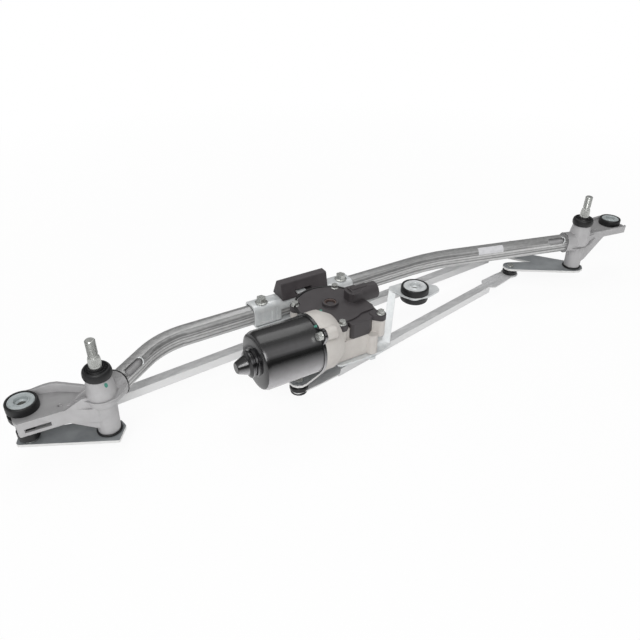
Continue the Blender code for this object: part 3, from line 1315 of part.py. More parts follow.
def make_crank():
    shaft = turned("output_shaft", [
        (0.0, OUTPUT_HIGHEST),
        (OUTPUT_RADIUS - 1.0, OUTPUT_HIGHEST),
        (OUTPUT_RADIUS, OUTPUT_HIGHEST - 1.0),
        (OUTPUT_RADIUS, OUTPUT_LOWEST + 1.0),
        (OUTPUT_RADIUS - 1.0, OUTPUT_LOWEST),
        (0.0, OUTPUT_LOWEST),
    ], (*HUB, 0.0), 20)
    smooth_round(shaft)
    own(shaft, "crank_body", BRIGHT)
    fit = OUTPUT_RADIUS + SEAT_GAP
    outline = []
    for index in range(GEAR_TEETH):
        pitch = 360.0 / GEAR_TEETH
        start = index * pitch
        outline.append(polar(HUB, GEAR_RADIUS - GEAR_TOOTH, start))
        outline.append(polar(HUB, GEAR_RADIUS, start + pitch * 0.3))
        outline.append(polar(HUB, GEAR_RADIUS, start + pitch * 0.55))
        outline.append(polar(HUB, GEAR_RADIUS - GEAR_TOOTH, start + pitch * 0.85))
    low = WORM_HEIGHT - GEAR_THICKNESS / 2
    wheel = plate("worm_wheel", outline, low, low + GEAR_THICKNESS, [circle(HUB, fit)])
    rim = GEAR_RADIUS - GEAR_TOOTH - 3.0
    hollow = turned("wheel_hollow", [(rim, 10.0), (rim, 0.0), (fit + 4.0, 0.0), (fit + 4.0, 10.0)],
                    (*HUB, low + GEAR_THICKNESS - 3.0), 16)
    cut(wheel, hollow)
    smooth_round(wheel)
    own(wheel, "crank_body", NYLON)
    bottom = LEVER_TOP - LEVER_THICKNESS
    arm = plate("crank_arm", hull_of_two(HUB, CRANK_WIDTH * 0.64, CRANK_PIN, CRANK_WIDTH / 2), bottom, LEVER_TOP,
                [circle(HUB, fit, 20), circle(CRANK_PIN, BALL_NECK + SEAT_GAP, 16)])
    smooth_round(arm)
    own(arm, "crank_body", LEVER_STEEL)
    nut_top = bottom - SEAT_GAP
    nut = plate("crank_nut", hex_outline(HUB, CRANK_NUT_WIDTH), nut_top - CRANK_NUT_HEIGHT, nut_top,
                [circle(HUB, fit, 20)])
    own(nut, "crank_body", ZINC)
    ball_stud("crank_stud", CRANK_PIN, "crank_body", CRANK_BALL_HEIGHT, -1.0, -30.0)


# Bracket, clamp and rubber block

def carried_profile(name, outline, left, right):
    """A bar along X with a (y, z) outline."""
    piece = plate(name, outline, -(right - left) / 2, (right - left) / 2)
    stand = Matrix.Rotation(math.pi / 2, 4, "Z") @ Matrix.Rotation(math.pi / 2, 4, "X")
    piece.matrix_world = Matrix.Translation(Vector(((left + right) / 2, 0.0, 0.0)) * MM) @ stand
    return piece


def make_bracket():
    """The sheet bracket: a floor under the gear housing, a cradle under the tube and a raised tab."""
    low = BRACKET_TOP - SHEET
    tube_bottom = TUBE_HEIGHT - TUBE_DEPTH / 2
    cradle_top = tube_bottom - SEAT_GAP
    floor_outline = [
        (CAN_RIGHT + 28.0, -54.0, 4.0),
        (-78.0, -56.0, 4.0),
        (-47.0, -55.0, 3.0),
        (-32.0, -50.0, 3.0),
        (-28.0, -40.0, 3.0),
        (-16.0, -20.0, 10.0),
        (-22.0, 42.0, 2.0),
        (CLAMP_LEFT + 2.0, 42.0, 2.0),
        (CLAMP_LEFT + 2.0, 12.0, 8.0),
        (CAN_RIGHT + 28.0, 6.0, 6.0),
    ]
    floor = plate("motor_bracket", rounded(floor_outline), low, BRACKET_TOP)
    step = [
        (38.0, low + 0.1),
        (43.0, low + 0.1),
        (TUBE_BACK - TUBE_WIDTH / 2, cradle_top - SHEET),
        (TUBE_BACK + TUBE_WIDTH / 2 + 3.0, cradle_top - SHEET),
        (TUBE_BACK + TUBE_WIDTH / 2 + 3.0, cradle_top),
        (TUBE_BACK - TUBE_WIDTH / 2 - 1.5, cradle_top),
        (41.5, BRACKET_TOP - 0.1),
        (38.0, BRACKET_TOP - 0.1),
    ]
    cradle = carried_profile("tube_cradle", step, CLAMP_LEFT + 2.3, -22.4)
    ramp_start = (-36.0, -46.0)
    ramp_end = (15.5, 12.5)
    span = Vector(ramp_end) - Vector(ramp_start)
    heading = math.degrees(math.atan2(span.y, span.x))
    length = span.length
    ramp_outline = [
        (0.0, low + 0.2),
        (4.0, low + 0.2),
        (length - 6.0, TAB_TOP - SHEET - 1.0),
        (length, TAB_TOP - SHEET + 0.3),
        (length, TAB_TOP - 0.3),
        (length - 8.0, TAB_TOP - 0.3),
        (3.0, BRACKET_TOP - 0.2),
        (0.0, BRACKET_TOP - 0.2),
    ]
    wall = upright("bracket_ramp", ramp_outline, ramp_start, heading, RAMP_WIDTH)
    tab_outline = [
        (9.0, 7.0, 4.0),
        (12.0, 17.0, 3.0),
        (32.0, 17.0, 8.0),
        (66.0, -9.0, 6.0),
        (62.0, -20.0, 4.0),
        (42.0, -24.5, 10.0),
        (21.0, -22.0, 8.0),
    ]
    tab = plate("bracket_tab", rounded(tab_outline), TAB_TOP - SHEET, TAB_TOP)
    fuse(floor, cradle, wall, tab)
    for index, x in enumerate((CLAMP_BOLT_LEFT, CLAMP_BOLT_RIGHT)):
        weld_nut = plate("weld_nut_%d" % index, hex_outline((x, CLAMP_BOLT_Y), BOLT_HEAD_WIDTH),
                         cradle_top - SHEET - WELD_NUT, cradle_top - SHEET / 2)
        fuse(floor, weld_nut)
    for index, (x, y) in enumerate(BRACKET_BOSSES):
        cut(floor, rod_cutter("bracket_hole_%d" % index, (x, y), BOLT_RADIUS + SEAT_GAP, low - 5.0, BRACKET_TOP + 5.0, 10))
    for index, x in enumerate((CLAMP_BOLT_LEFT, CLAMP_BOLT_RIGHT)):
        cut(floor, rod_cutter("cradle_hole_%d" % index, (x, CLAMP_BOLT_Y), BOLT_RADIUS + SEAT_GAP,
                              cradle_top - SHEET - WELD_NUT - 5.0, cradle_top + 5.0, 10))
    cut(
        floor,
        rod_cutter("bracket_boss_hole", HUB, OUTPUT_BOSS_RADIUS + 2.0, low - 5.0, BRACKET_TOP + 5.0, 20),
        rod_cutter("tab_hole", CENTRE_GROMMET, GROMMET_GROOVE + SEAT_GAP, TAB_TOP - 10.0, TAB_TOP + 10.0, 20),
    )
    smooth_round(floor)
    own(floor, "frame_body", ZINC)


def make_clamp():
    """The strap over the tube: a long inverted channel whose left end reaches down the tube's sides."""
    inner = TUBE_WIDTH / 2 + SEAT_GAP
    outer = inner + SHEET
    inner_top = TUBE_HEIGHT + TUBE_DEPTH / 2 + SEAT_GAP
    top = inner_top + SHEET
    leg = TUBE_HEIGHT - TUBE_DEPTH / 2 + 2.0
    outline = [
        (TUBE_BACK - outer, leg, 0.0),
        (TUBE_BACK - outer, top, 6.5),
        (TUBE_BACK + outer, top, 6.5),
        (TUBE_BACK + outer, leg, 0.0),
        (TUBE_BACK + inner, leg, 0.0),
        (TUBE_BACK + inner, inner_top, 4.2),
        (TUBE_BACK - inner, inner_top, 4.2),
        (TUBE_BACK - inner, leg, 0.0),
    ]
    strap = carried_profile("tube_clamp", rounded(outline), CLAMP_LEFT, CLAMP_RIGHT)
    middle_low = TUBE_HEIGHT + 4.0
    cut(
        strap,
        box("clamp_front_relief", (CLAMP_LEFT + 34.0, TUBE_BACK - 30.0, leg - 10.0),
            (CLAMP_RIGHT - 22.0, TUBE_BACK + 30.0, middle_low)),
        box("clamp_panel", (CLAMP_LEFT + 6.0, TUBE_BACK - 30.0, leg + 3.0),
            (CLAMP_LEFT + 22.0, TUBE_BACK - outer + 0.8, top - 8.0)),
        box("clamp_groove", (CLAMP_LEFT + 26.5, TUBE_BACK - 30.0, leg - 1.0),
            (CLAMP_LEFT + 28.5, TUBE_BACK - outer + 0.8, top - 5.0)),
    )
    for index, x in enumerate((CLAMP_BOLT_LEFT, CLAMP_BOLT_RIGHT)):
        cut(strap, rod_cutter("strap_hole_%d" % index, (x, CLAMP_BOLT_Y), BOLT_RADIUS + SEAT_GAP, top - 10.0, top + 10.0, 10))
    smooth_round(strap)
    own(strap, "frame_body", ZINC)
    for index, x in enumerate((CLAMP_BOLT_LEFT, CLAMP_BOLT_RIGHT)):
        seat = top + SEAT_GAP
        screw_down("clamp_bolt_%d" % (index + 1), (x, CLAMP_BOLT_Y), seat, seat - 18.0, BOLT_HEAD_WIDTH, 4.6, BOLT_RADIUS,
                   BOLT_FLANGE_RADIUS, 1.6, "frame_body")


def make_block():
    """The rubber buffer on the strap: a sloped block with a pocket in its face and a steel tongue in it."""
    base = TUBE_HEIGHT + TUBE_DEPTH / 2 + 2 * SEAT_GAP + SHEET
    front = BLOCK_FRONT
    back = BLOCK_BACK
    high = base + BLOCK_HEIGHT
    outline = [(front, base, 0.0), (back, base, 0.0), (back - 9.0, high, 2.0), (front + 4.5, high, 2.0)]
    block = carried_profile("rubber_block", rounded(outline), BLOCK_LEFT, BLOCK_RIGHT)
    for index, x in enumerate((BLOCK_LEFT, BLOCK_RIGHT)):
        wedge = box("block_end_%d" % index, (-20.0, front - 20.0, -30.0), (20.0, back + 20.0, 30.0))
        side = -1.0 if index == 0 else 1.0
        wedge.matrix_world = Matrix.Translation(Vector((x + side * 17.0, 0.0, high)) * MM) @ Matrix.Rotation(side * 0.24, 4, "Y")
        cut(block, wedge)
    pocket_x = (BLOCK_LEFT + BLOCK_RIGHT) / 2 - 2.0
    pocket = box("block_pocket", (pocket_x - 11.0, front - 10.0, base + 3.5), (pocket_x + 11.0, front + 13.0, base + 8.5))
    cut(block, pocket)
    smooth_round(block)
    own(block, "frame_body", BLOCK_RUBBER)
    tongue = box("block_tongue", (pocket_x - 9.0, front - 1.0, base + 4.0), (pocket_x + 3.0, front + 12.5, base + 5.6))
    own(tongue, "frame_body", BRIGHT)


def make_bracket_bolts():
    seat = BRACKET_TOP - SHEET - SEAT_GAP
    for index, centre in enumerate(BRACKET_BOSSES):
        name = "bracket_bolt_%d" % (index + 1)
        head = plate(name, hex_outline((0.0, 0.0), BOLT_HEAD_WIDTH), 0.6, 5.0)
        collar = turned(name + "_flange", [(0.0, 1.6), (4.6, 1.6), (6.6, 0.5), (6.6, 0.0), (0.0, 0.0)], (0, 0, 0), ROUND_STEPS)
        pin = rod_cutter(name + "_shank", (0.0, 0.0), BOLT_RADIUS, -15.0, 1.0, 10)
        fuse(head, collar, pin)
        flip = Matrix.Translation(Vector((*centre, seat)) * MM) @ Matrix.Rotation(math.pi, 4, "X")
        carry(head, flip)
        own(head, "frame_body", ZINC)


make_tube()
left_corner = tube_corners()[1]
right_corner = tube_corners()[2]
make_housing("left", LEFT_PIVOT, left_corner, LEFT_ARM_ANGLE, LEFT_ARM_HEIGHT, -1.0, 28.0, -2.5, 9.0)
make_housing("right", RIGHT_PIVOT, right_corner, RIGHT_ARM_ANGLE, RIGHT_ARM_HEIGHT, 1.0, 23.5, 6.0, 3.0)
for side, pivot in (("left", LEFT_PIVOT), ("right", RIGHT_PIVOT)):
    make_pivot_fittings(side, pivot)
    make_shaft(side, pivot)
make_mount("left", LEFT_GROMMET, LEFT_ARM_HEIGHT, ARM_THICKNESS)
make_mount("right", RIGHT_GROMMET, RIGHT_ARM_HEIGHT, ARM_THICKNESS)
make_mount("centre", CENTRE_GROMMET, TAB_TOP - SHEET, SHEET)

make_can()
make_gear_housing()
make_cover()
make_cover_screws()
make_can_screws()
make_motor_inside()
make_crank()
make_bracket()
make_bracket_bolts()
make_clamp()
make_block()

make_left_lever()
make_right_lever()
ball_stud("left_stud", LEFT_STUD, "left_pivot_body", LEFT_BALL_HEIGHT, 1.0, LINK_ROD_TOP - ROD_SHEET - 0.4)
ball_stud("link_stud", LINK_STUD, "right_pivot_body", LINK_BALL_HEIGHT, 1.0, 40.0)
ball_stud("drive_stud", DRIVE_STUD, "right_pivot_body", DRIVE_BALL_HEIGHT, -1.0, DRIVE_ROD_TOP + 0.4)
make_rod("link_rod", LINK_STUD, LEFT_STUD, LINK_ROD_TOP, "link_rod_body")
make_rod("drive_rod", CRANK_PIN, DRIVE_STUD, DRIVE_ROD_TOP, "drive_rod_body")
ball_socket("link_socket", LINK_STUD, "link_rod_body", LINK_BALL_HEIGHT, LINK_ROD_TOP, 1.0, True)
ball_socket("crank_socket", CRANK_PIN, "drive_rod_body", CRANK_BALL_HEIGHT, DRIVE_ROD_TOP, -1.0, True)
ball_socket("left_socket_ring", LEFT_STUD, "left_pivot_body", LEFT_BALL_HEIGHT, LINK_ROD_TOP, 1.0, False)
ball_socket("drive_socket_ring", DRIVE_STUD, "right_pivot_body", DRIVE_BALL_HEIGHT, DRIVE_ROD_TOP, -1.0, False)
end_cap("link_rod_cap", LEFT_STUD, "link_rod_body", LINK_ROD_TOP, 1.0)
end_cap("drive_rod_cap", DRIVE_STUD, "drive_rod_body", DRIVE_ROD_TOP, -1.0)

# The cutters follow the pieces to the part's own origin
bpy.context.view_layer.update()
to_origin = Matrix.Translation(-bodies["frame_body"][1] * MM)
for cutter in cutters.objects:
    cutter.matrix_world = to_origin @ cutter.matrix_world
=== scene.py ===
import math
import bpy
import bmesh
from mathutils import Matrix, Vector
from mathutils.bvhtree import BVHTree


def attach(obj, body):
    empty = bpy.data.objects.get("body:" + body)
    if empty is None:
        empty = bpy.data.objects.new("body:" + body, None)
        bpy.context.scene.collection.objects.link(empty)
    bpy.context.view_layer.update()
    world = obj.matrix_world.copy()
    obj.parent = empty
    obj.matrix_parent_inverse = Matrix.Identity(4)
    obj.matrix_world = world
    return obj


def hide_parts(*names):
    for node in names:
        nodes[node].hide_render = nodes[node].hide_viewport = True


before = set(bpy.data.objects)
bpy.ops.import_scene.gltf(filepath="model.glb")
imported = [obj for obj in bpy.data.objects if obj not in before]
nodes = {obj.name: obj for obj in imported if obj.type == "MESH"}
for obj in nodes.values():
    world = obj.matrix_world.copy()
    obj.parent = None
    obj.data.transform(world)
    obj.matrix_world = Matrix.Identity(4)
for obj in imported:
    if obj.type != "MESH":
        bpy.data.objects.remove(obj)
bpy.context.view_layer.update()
bpy.ops.object.select_all(action="DESELECT")
scene = bpy.context.scene


# The studio: a pale seamless floor, white all round, one wide soft lamp overhead and
# a weaker one from the front left, with the camera at the photograph's angle.
scene.view_settings.view_transform = "Standard"
CAMERA_PLACE = (-0.40697, -0.50006, 0.4546)
CAMERA_HEADING = (0.5295, 0.8483)
CAMERA_PITCH = math.radians(33.5)
CAMERA_ROLL = math.radians(1.0)
CAMERA_LENS = 34.875
CAMERA_SENSOR = 36.0
FLOOR_HALF = 6.0
FLOOR_WHITE = (0.92, 0.92, 0.92, 1)
FLOOR_NEAR = 0.5
FLOOR_FAR = 1.2
FLOOR_LIFT = 0.92
ROOM_LIGHT = 0.42
WALL_WHITE = 0.16
WALL_TOP = 0.15
CEILING_WHITE = 0.75
CEILING_START = 0.95
MERGE_DISTANCE = 0.000002
CORNER = 33

right = Vector((CAMERA_HEADING[1], -CAMERA_HEADING[0], 0)).normalized()
level = Vector((CAMERA_HEADING[0], CAMERA_HEADING[1], 0)).normalized()
forward = level * math.cos(CAMERA_PITCH) - Vector((0, 0, math.sin(CAMERA_PITCH)))
above = right.cross(forward)
turn = Matrix((right, above, -forward)).transposed().to_4x4()
turn = turn @ Matrix.Rotation(CAMERA_ROLL, 4, "Z")
camera_data = bpy.data.cameras.new("camera")
camera_data.lens = CAMERA_LENS
camera_data.sensor_width = CAMERA_SENSOR
camera_data.clip_start = 0.01
camera_data.clip_end = 30
camera = bpy.data.objects.new("camera", camera_data)
camera.matrix_world = Matrix.Translation(CAMERA_PLACE) @ turn
scene.collection.objects.link(camera)
scene.camera = camera


def shown_rays(tree):
    """1 for the rays that show the room itself: camera, mirror and see-through rays."""
    ray = tree.nodes.new("ShaderNodeLightPath")
    first = tree.nodes.new("ShaderNodeMath")
    first.operation = "MAXIMUM"
    both = tree.nodes.new("ShaderNodeMath")
    both.operation = "MAXIMUM"
    tree.links.new(ray.outputs["Is Camera Ray"], first.inputs[0])
    tree.links.new(ray.outputs["Is Glossy Ray"], first.inputs[1])
    tree.links.new(first.outputs[0], both.inputs[0])
    tree.links.new(ray.outputs["Is Transmission Ray"], both.inputs[1])
    return both.outputs[0]


world = bpy.data.worlds.new("white_room")
scene.world = world
world.use_nodes = True
tree = world.node_tree
tree.nodes.clear()
seen = tree.nodes.new("ShaderNodeBackground")
seen.inputs["Color"].default_value = (1, 1, 1, 1)
seen.inputs["Strength"].default_value = 1.0
lit = tree.nodes.new("ShaderNodeBackground")
lit.inputs["Color"].default_value = (1, 1, 1, 1)
lit.inputs["Strength"].default_value = ROOM_LIGHT
mirrored = tree.nodes.new("ShaderNodeBackground")
heading = tree.nodes.new("ShaderNodeTexCoord")
height = tree.nodes.new("ShaderNodeSeparateXYZ")
walls = tree.nodes.new("ShaderNodeMapRange")
walls.interpolation_type = "SMOOTHSTEP"
walls.inputs["From Min"].default_value = WALL_TOP
walls.inputs["From Max"].default_value = CEILING_START
walls.inputs["To Min"].default_value = WALL_WHITE
walls.inputs["To Max"].default_value = CEILING_WHITE
ray = tree.nodes.new("ShaderNodeLightPath")
gleam = tree.nodes.new("ShaderNodeMixShader")
chosen = tree.nodes.new("ShaderNodeMixShader")
shown = tree.nodes.new("ShaderNodeOutputWorld")
tree.links.new(heading.outputs["Generated"], height.inputs[0])
tree.links.new(height.outputs["Z"], walls.inputs["Value"])
tree.links.new(walls.outputs[0], mirrored.inputs["Strength"])
tree.links.new(ray.outputs["Is Glossy Ray"], gleam.inputs[0])
tree.links.new(seen.outputs[0], gleam.inputs[1])
tree.links.new(mirrored.outputs[0], gleam.inputs[2])
tree.links.new(shown_rays(tree), chosen.inputs[0])
tree.links.new(lit.outputs[0], chosen.inputs[1])
tree.links.new(gleam.outputs[0], chosen.inputs[2])
tree.links.new(chosen.outputs[0], shown.inputs["Surface"])

bpy.ops.mesh.primitive_plane_add(size=2 * FLOOR_HALF, location=(0, 0, 0))
floor = bpy.context.object
floor.name = "floor"
floor_paint = bpy.data.materials.new("floor_paint")
floor_paint.use_nodes = True
tree = floor_paint.node_tree
matt = tree.nodes["Principled BSDF"]
matt.inputs["Base Color"].default_value = FLOOR_WHITE
matt.inputs["Roughness"].default_value = 0.9
matt.inputs["Specular IOR Level"].default_value = 0.1
white = tree.nodes.new("ShaderNodeEmission")
where = tree.nodes.new("ShaderNodeTexCoord")
away = tree.nodes.new("ShaderNodeVectorMath")
away.operation = "LENGTH"
fading = tree.nodes.new("ShaderNodeMapRange")
fading.inputs["From Min"].default_value = FLOOR_NEAR
fading.inputs["From Max"].default_value = FLOOR_FAR
fading.inputs["To Min"].default_value = FLOOR_LIFT
amount = tree.nodes.new("ShaderNodeMath")
amount.operation = "MULTIPLY"
mixed = tree.nodes.new("ShaderNodeMixShader")
tree.links.new(where.outputs["Object"], away.inputs[0])
tree.links.new(away.outputs["Value"], fading.inputs["Value"])
tree.links.new(fading.outputs[0], amount.inputs[0])
tree.links.new(shown_rays(tree), amount.inputs[1])
tree.links.new(amount.outputs[0], mixed.inputs[0])
tree.links.new(matt.outputs[0], mixed.inputs[1])
tree.links.new(white.outputs[0], mixed.inputs[2])
tree.links.new(mixed.outputs[0], tree.nodes["Material Output"].inputs["Surface"])
floor.data.materials.append(floor_paint)


def soft_lamp(name, place, target, width, power):
    """A square area lamp of the given width and power, aimed at a point."""
    lamp = bpy.data.lights.new(name, "AREA")
    lamp.size = width
    lamp.energy = power
    holder = bpy.data.objects.new(name, lamp)
    holder.location = place
    holder.rotation_euler = (Vector(target) - Vector(place)).to_track_quat("-Z", "Y").to_euler()
    scene.collection.objects.link(holder)


soft_lamp("lamp_overhead", (0.2, 0.7, 1.8), (0, 0, 0.05), 1.2, 9)
soft_lamp("lamp_front", (-1.0, -1.3, 1.6), (0, 0, 0.05), 1.0, 24)


# The tube: round steel tube, galvanised, pressed flatter and bent in plan at two places,
# and crimped into the two die-cast pivots. Drawing and bending leave streaks along it; the
# light and dark bands along it are painted reflections and painted shade, set by the slope of each face.
def shader_group(name, inputs, outputs):
    """A new shader node group with its named sockets, its input node and its output node."""
    group = bpy.data.node_groups.new(name, "ShaderNodeTree")
    for label, kind, value in inputs:
        group.interface.new_socket(label, in_out="INPUT", socket_type=kind).default_value = value
    for label, kind in outputs:
        group.interface.new_socket(label, in_out="OUTPUT", socket_type=kind)
    return group, group.nodes.new("NodeGroupInput"), group.nodes.new("NodeGroupOutput")


def stretched_place(group, start):
    """Object coordinates times the group's Stretch, as a socket."""
    where = group.nodes.new("ShaderNodeTexCoord")
    scaled = group.nodes.new("ShaderNodeVectorMath")
    scaled.operation = "MULTIPLY"
    group.links.new(where.outputs["Object"], scaled.inputs[0])
    group.links.new(start.outputs["Stretch"], scaled.inputs[1])
    return scaled.outputs[0]


# Uneven patches, from 0 to 1, for colour and gloss.
PATCHES, start, end = shader_group(
    "uneven_patches",
    [("Scale", "NodeSocketFloat", 60.0), ("Stretch", "NodeSocketVector", (1, 1, 1)),
     ("Low", "NodeSocketFloat", 0.35), ("High", "NodeSocketFloat", 0.65)],
    [("Mask", "NodeSocketFloat")],
)
noise = PATCHES.nodes.new("ShaderNodeTexNoise")
noise.inputs["Detail"].default_value = 6
noise.inputs["Roughness"].default_value = 0.62
spread = PATCHES.nodes.new("ShaderNodeMapRange")
PATCHES.links.new(stretched_place(PATCHES, start), noise.inputs["Vector"])
PATCHES.links.new(start.outputs["Scale"], noise.inputs["Scale"])
PATCHES.links.new(noise.outputs["Fac"], spread.inputs["Value"])
PATCHES.links.new(start.outputs["Low"], spread.inputs["From Min"])
PATCHES.links.new(start.outputs["High"], spread.inputs["From Max"])
PATCHES.links.new(spread.outputs[0], end.inputs["Mask"])

# Worn or cut edges, from 0 to 1, broken up by noise.
EDGES, start, end = shader_group(
    "worn_edges",
    [("Width", "NodeSocketFloat", 0.0006), ("Strength", "NodeSocketFloat", 4.0),
     ("Scale", "NodeSocketFloat", 300.0)],
    [("Mask", "NodeSocketFloat")],
)
softened = EDGES.nodes.new("ShaderNodeBevel")
softened.samples = 6
facing = EDGES.nodes.new("ShaderNodeNewGeometry")
likeness = EDGES.nodes.new("ShaderNodeVectorMath")
likeness.operation = "DOT_PRODUCT"
turned_away = EDGES.nodes.new("ShaderNodeMath")
turned_away.operation = "SUBTRACT"
turned_away.inputs[0].default_value = 1.0
stronger = EDGES.nodes.new("ShaderNodeMath")
stronger.operation = "MULTIPLY"
where = EDGES.nodes.new("ShaderNodeTexCoord")
chips = EDGES.nodes.new("ShaderNodeTexNoise")
chips.inputs["Detail"].default_value = 4
uneven = EDGES.nodes.new("ShaderNodeMapRange")
uneven.inputs["From Min"].default_value = 0.35
uneven.inputs["From Max"].default_value = 0.6
uneven.inputs["To Min"].default_value = 0.25
broken = EDGES.nodes.new("ShaderNodeMath")
broken.operation = "MULTIPLY"
broken.use_clamp = True
EDGES.links.new(start.outputs["Width"], softened.inputs["Radius"])
EDGES.links.new(softened.outputs["Normal"], likeness.inputs[0])
EDGES.links.new(facing.outputs["Normal"], likeness.inputs[1])
EDGES.links.new(likeness.outputs["Value"], turned_away.inputs[1])
EDGES.links.new(turned_away.outputs[0], stronger.inputs[0])
EDGES.links.new(start.outputs["Strength"], stronger.inputs[1])
EDGES.links.new(where.outputs["Object"], chips.inputs["Vector"])
EDGES.links.new(start.outputs["Scale"], chips.inputs["Scale"])
EDGES.links.new(chips.outputs["Fac"], uneven.inputs["Value"])
EDGES.links.new(stronger.outputs[0], broken.inputs[0])
EDGES.links.new(uneven.outputs[0], broken.inputs[1])
EDGES.links.new(broken.outputs[0], end.inputs["Mask"])

# Fine grain over softly rounded edges, as a normal.
GRAIN, start, end = shader_group(
    "fine_grain",
    [("Scale", "NodeSocketFloat", 900.0), ("Stretch", "NodeSocketVector", (1, 1, 1)),
     ("Height", "NodeSocketFloat", 0.00005), ("Edge", "NodeSocketFloat", 0.0005)],
    [("Normal", "NodeSocketVector")],
)
rounded = GRAIN.nodes.new("ShaderNodeBevel")
rounded.samples = 6
pits = GRAIN.nodes.new("ShaderNodeTexNoise")
pits.inputs["Detail"].default_value = 5
pits.inputs["Roughness"].default_value = 0.55
bumps = GRAIN.nodes.new("ShaderNodeBump")
bumps.inputs["Strength"].default_value = 1.0
GRAIN.links.new(start.outputs["Edge"], rounded.inputs["Radius"])
GRAIN.links.new(stretched_place(GRAIN, start), pits.inputs["Vector"])
GRAIN.links.new(start.outputs["Scale"], pits.inputs["Scale"])
GRAIN.links.new(pits.outputs["Fac"], bumps.inputs["Height"])
GRAIN.links.new(start.outputs["Height"], bumps.inputs["Distance"])
GRAIN.links.new(rounded.outputs["Normal"], bumps.inputs["Normal"])
GRAIN.links.new(bumps.outputs["Normal"], end.inputs["Normal"])


# How much a surface faces up, from -1 to 1, and the masks of upright faces and of faces
# that look along X. These masks place the painted light and shade further on.
SLOPE, start, end = shader_group(
    "slope", [], [("Up", "NodeSocketFloat"), ("Side", "NodeSocketFloat"), ("Ahead", "NodeSocketFloat")],
)
facing = SLOPE.nodes.new("ShaderNodeNewGeometry")
parts = SLOPE.nodes.new("ShaderNodeSeparateXYZ")
flat = SLOPE.nodes.new("ShaderNodeMath")
flat.operation = "ABSOLUTE"
upright = SLOPE.nodes.new("ShaderNodeMapRange")
upright.inputs["From Min"].default_value = 0.75
upright.inputs["From Max"].default_value = 0.45
endwise = SLOPE.nodes.new("ShaderNodeMath")
endwise.operation = "ABSOLUTE"
ends = SLOPE.nodes.new("ShaderNodeMapRange")
ends.inputs["From Min"].default_value = 0.35
ends.inputs["From Max"].default_value = 0.8
SLOPE.links.new(facing.outputs["Normal"], parts.inputs[0])
SLOPE.links.new(parts.outputs["X"], endwise.inputs[0])
SLOPE.links.new(endwise.outputs[0], ends.inputs["Value"])
SLOPE.links.new(ends.outputs[0], end.inputs["Ahead"])
SLOPE.links.new(parts.outputs["Z"], flat.inputs[0])
SLOPE.links.new(flat.outputs[0], upright.inputs["Value"])
SLOPE.links.new(parts.outputs["Z"], end.inputs["Up"])
SLOPE.links.new(upright.outputs[0], end.inputs["Side"])


def place_group(tree, group, **values):
    """Puts a group in a material with the material's own values."""
    node = tree.nodes.new("ShaderNodeGroup")
    node.node_tree = group
    for label, value in values.items():
        node.inputs[label].default_value = value
    return node


def finish(name, dark, light, worn, metallic, gloss, patch, grain, edge, stretch=(1, 1, 1)):
    """A material of two tones in patches, with worn edges, uneven gloss and a fine grain.
    gloss is (smoothest, roughest), patch is (scale, low, high), grain is (scale, height in
    metres) and edge is (rounding in metres, wear width in metres, wear strength)."""
    paint = bpy.data.materials.new(name)
    paint.use_nodes = True
    tree = paint.node_tree
    shader = tree.nodes["Principled BSDF"]
    tone = place_group(tree, PATCHES, Scale=patch[0], Low=patch[1], High=patch[2], Stretch=stretch)
    wear = place_group(tree, EDGES, Width=edge[1], Strength=edge[2], Scale=patch[0] * 6)
    fine = place_group(tree, GRAIN, Scale=grain[0], Height=grain[1], Edge=edge[0], Stretch=stretch)
    two = tree.nodes.new("ShaderNodeMix")
    two.data_type = "RGBA"
    two.inputs["A"].default_value = (*dark, 1)
    two.inputs["B"].default_value = (*light, 1)
    three = tree.nodes.new("ShaderNodeMix")
    three.data_type = "RGBA"
    three.inputs["B"].default_value = (*worn, 1)
    shine = tree.nodes.new("ShaderNodeMapRange")
    shine.inputs["To Min"].default_value = gloss[0]
    shine.inputs["To Max"].default_value = gloss[1]
    tree.links.new(tone.outputs["Mask"], two.inputs["Factor"])
    tree.links.new(two.outputs["Result"], three.inputs["A"])
    tree.links.new(wear.outputs["Mask"], three.inputs["Factor"])
    tree.links.new(three.outputs["Result"], shader.inputs["Base Color"])
    tree.links.new(tone.outputs["Mask"], shine.inputs["Value"])
    tree.links.new(shine.outputs[0], shader.inputs["Roughness"])
    tree.links.new(fine.outputs["Normal"], shader.inputs["Normal"])
    shader.inputs["Metallic"].default_value = metallic
    return paint


def smoothing():
    """Geometry nodes that join the triangles of a solid and shade it smooth but for its corners."""
    group = bpy.data.node_groups.new("soft_shading", "GeometryNodeTree")
    group.interface.new_socket("Geometry", in_out="INPUT", socket_type="NodeSocketGeometry")
    group.interface.new_socket("Geometry", in_out="OUTPUT", socket_type="NodeSocketGeometry")
    start = group.nodes.new("NodeGroupInput")
    end = group.nodes.new("NodeGroupOutput")
    join = group.nodes.new("GeometryNodeMergeByDistance")
    join.inputs["Distance"].default_value = MERGE_DISTANCE
    free = group.nodes.new("GeometryNodeRemoveAttribute")
    free.inputs["Name"].default_value = "custom_normal"
    faces = group.nodes.new("GeometryNodeSetShadeSmooth")
    faces.domain = "FACE"
    faces.inputs["Shade Smooth"].default_value = True
    corner = group.nodes.new("GeometryNodeInputMeshEdgeAngle")
    sharp = group.nodes.new("FunctionNodeCompare")
    sharp.data_type = "FLOAT"
    sharp.operation = "GREATER_THAN"
    sharp.inputs["B"].default_value = math.radians(CORNER)
    edges = group.nodes.new("GeometryNodeSetShadeSmooth")
    edges.domain = "EDGE"
    edges.inputs["Shade Smooth"].default_value = False
    group.links.new(start.outputs[0], join.inputs["Geometry"])
    group.links.new(join.outputs[0], free.inputs["Geometry"])
    group.links.new(free.outputs[0], faces.inputs["Geometry"])
    group.links.new(faces.outputs[0], edges.inputs["Geometry"])
    group.links.new(corner.outputs["Unsigned Angle"], sharp.inputs["A"])
    group.links.new(sharp.outputs[0], edges.inputs["Selection"])
    group.links.new(edges.outputs[0], end.inputs[0])
    return group


SOFT_SHADING = smoothing()


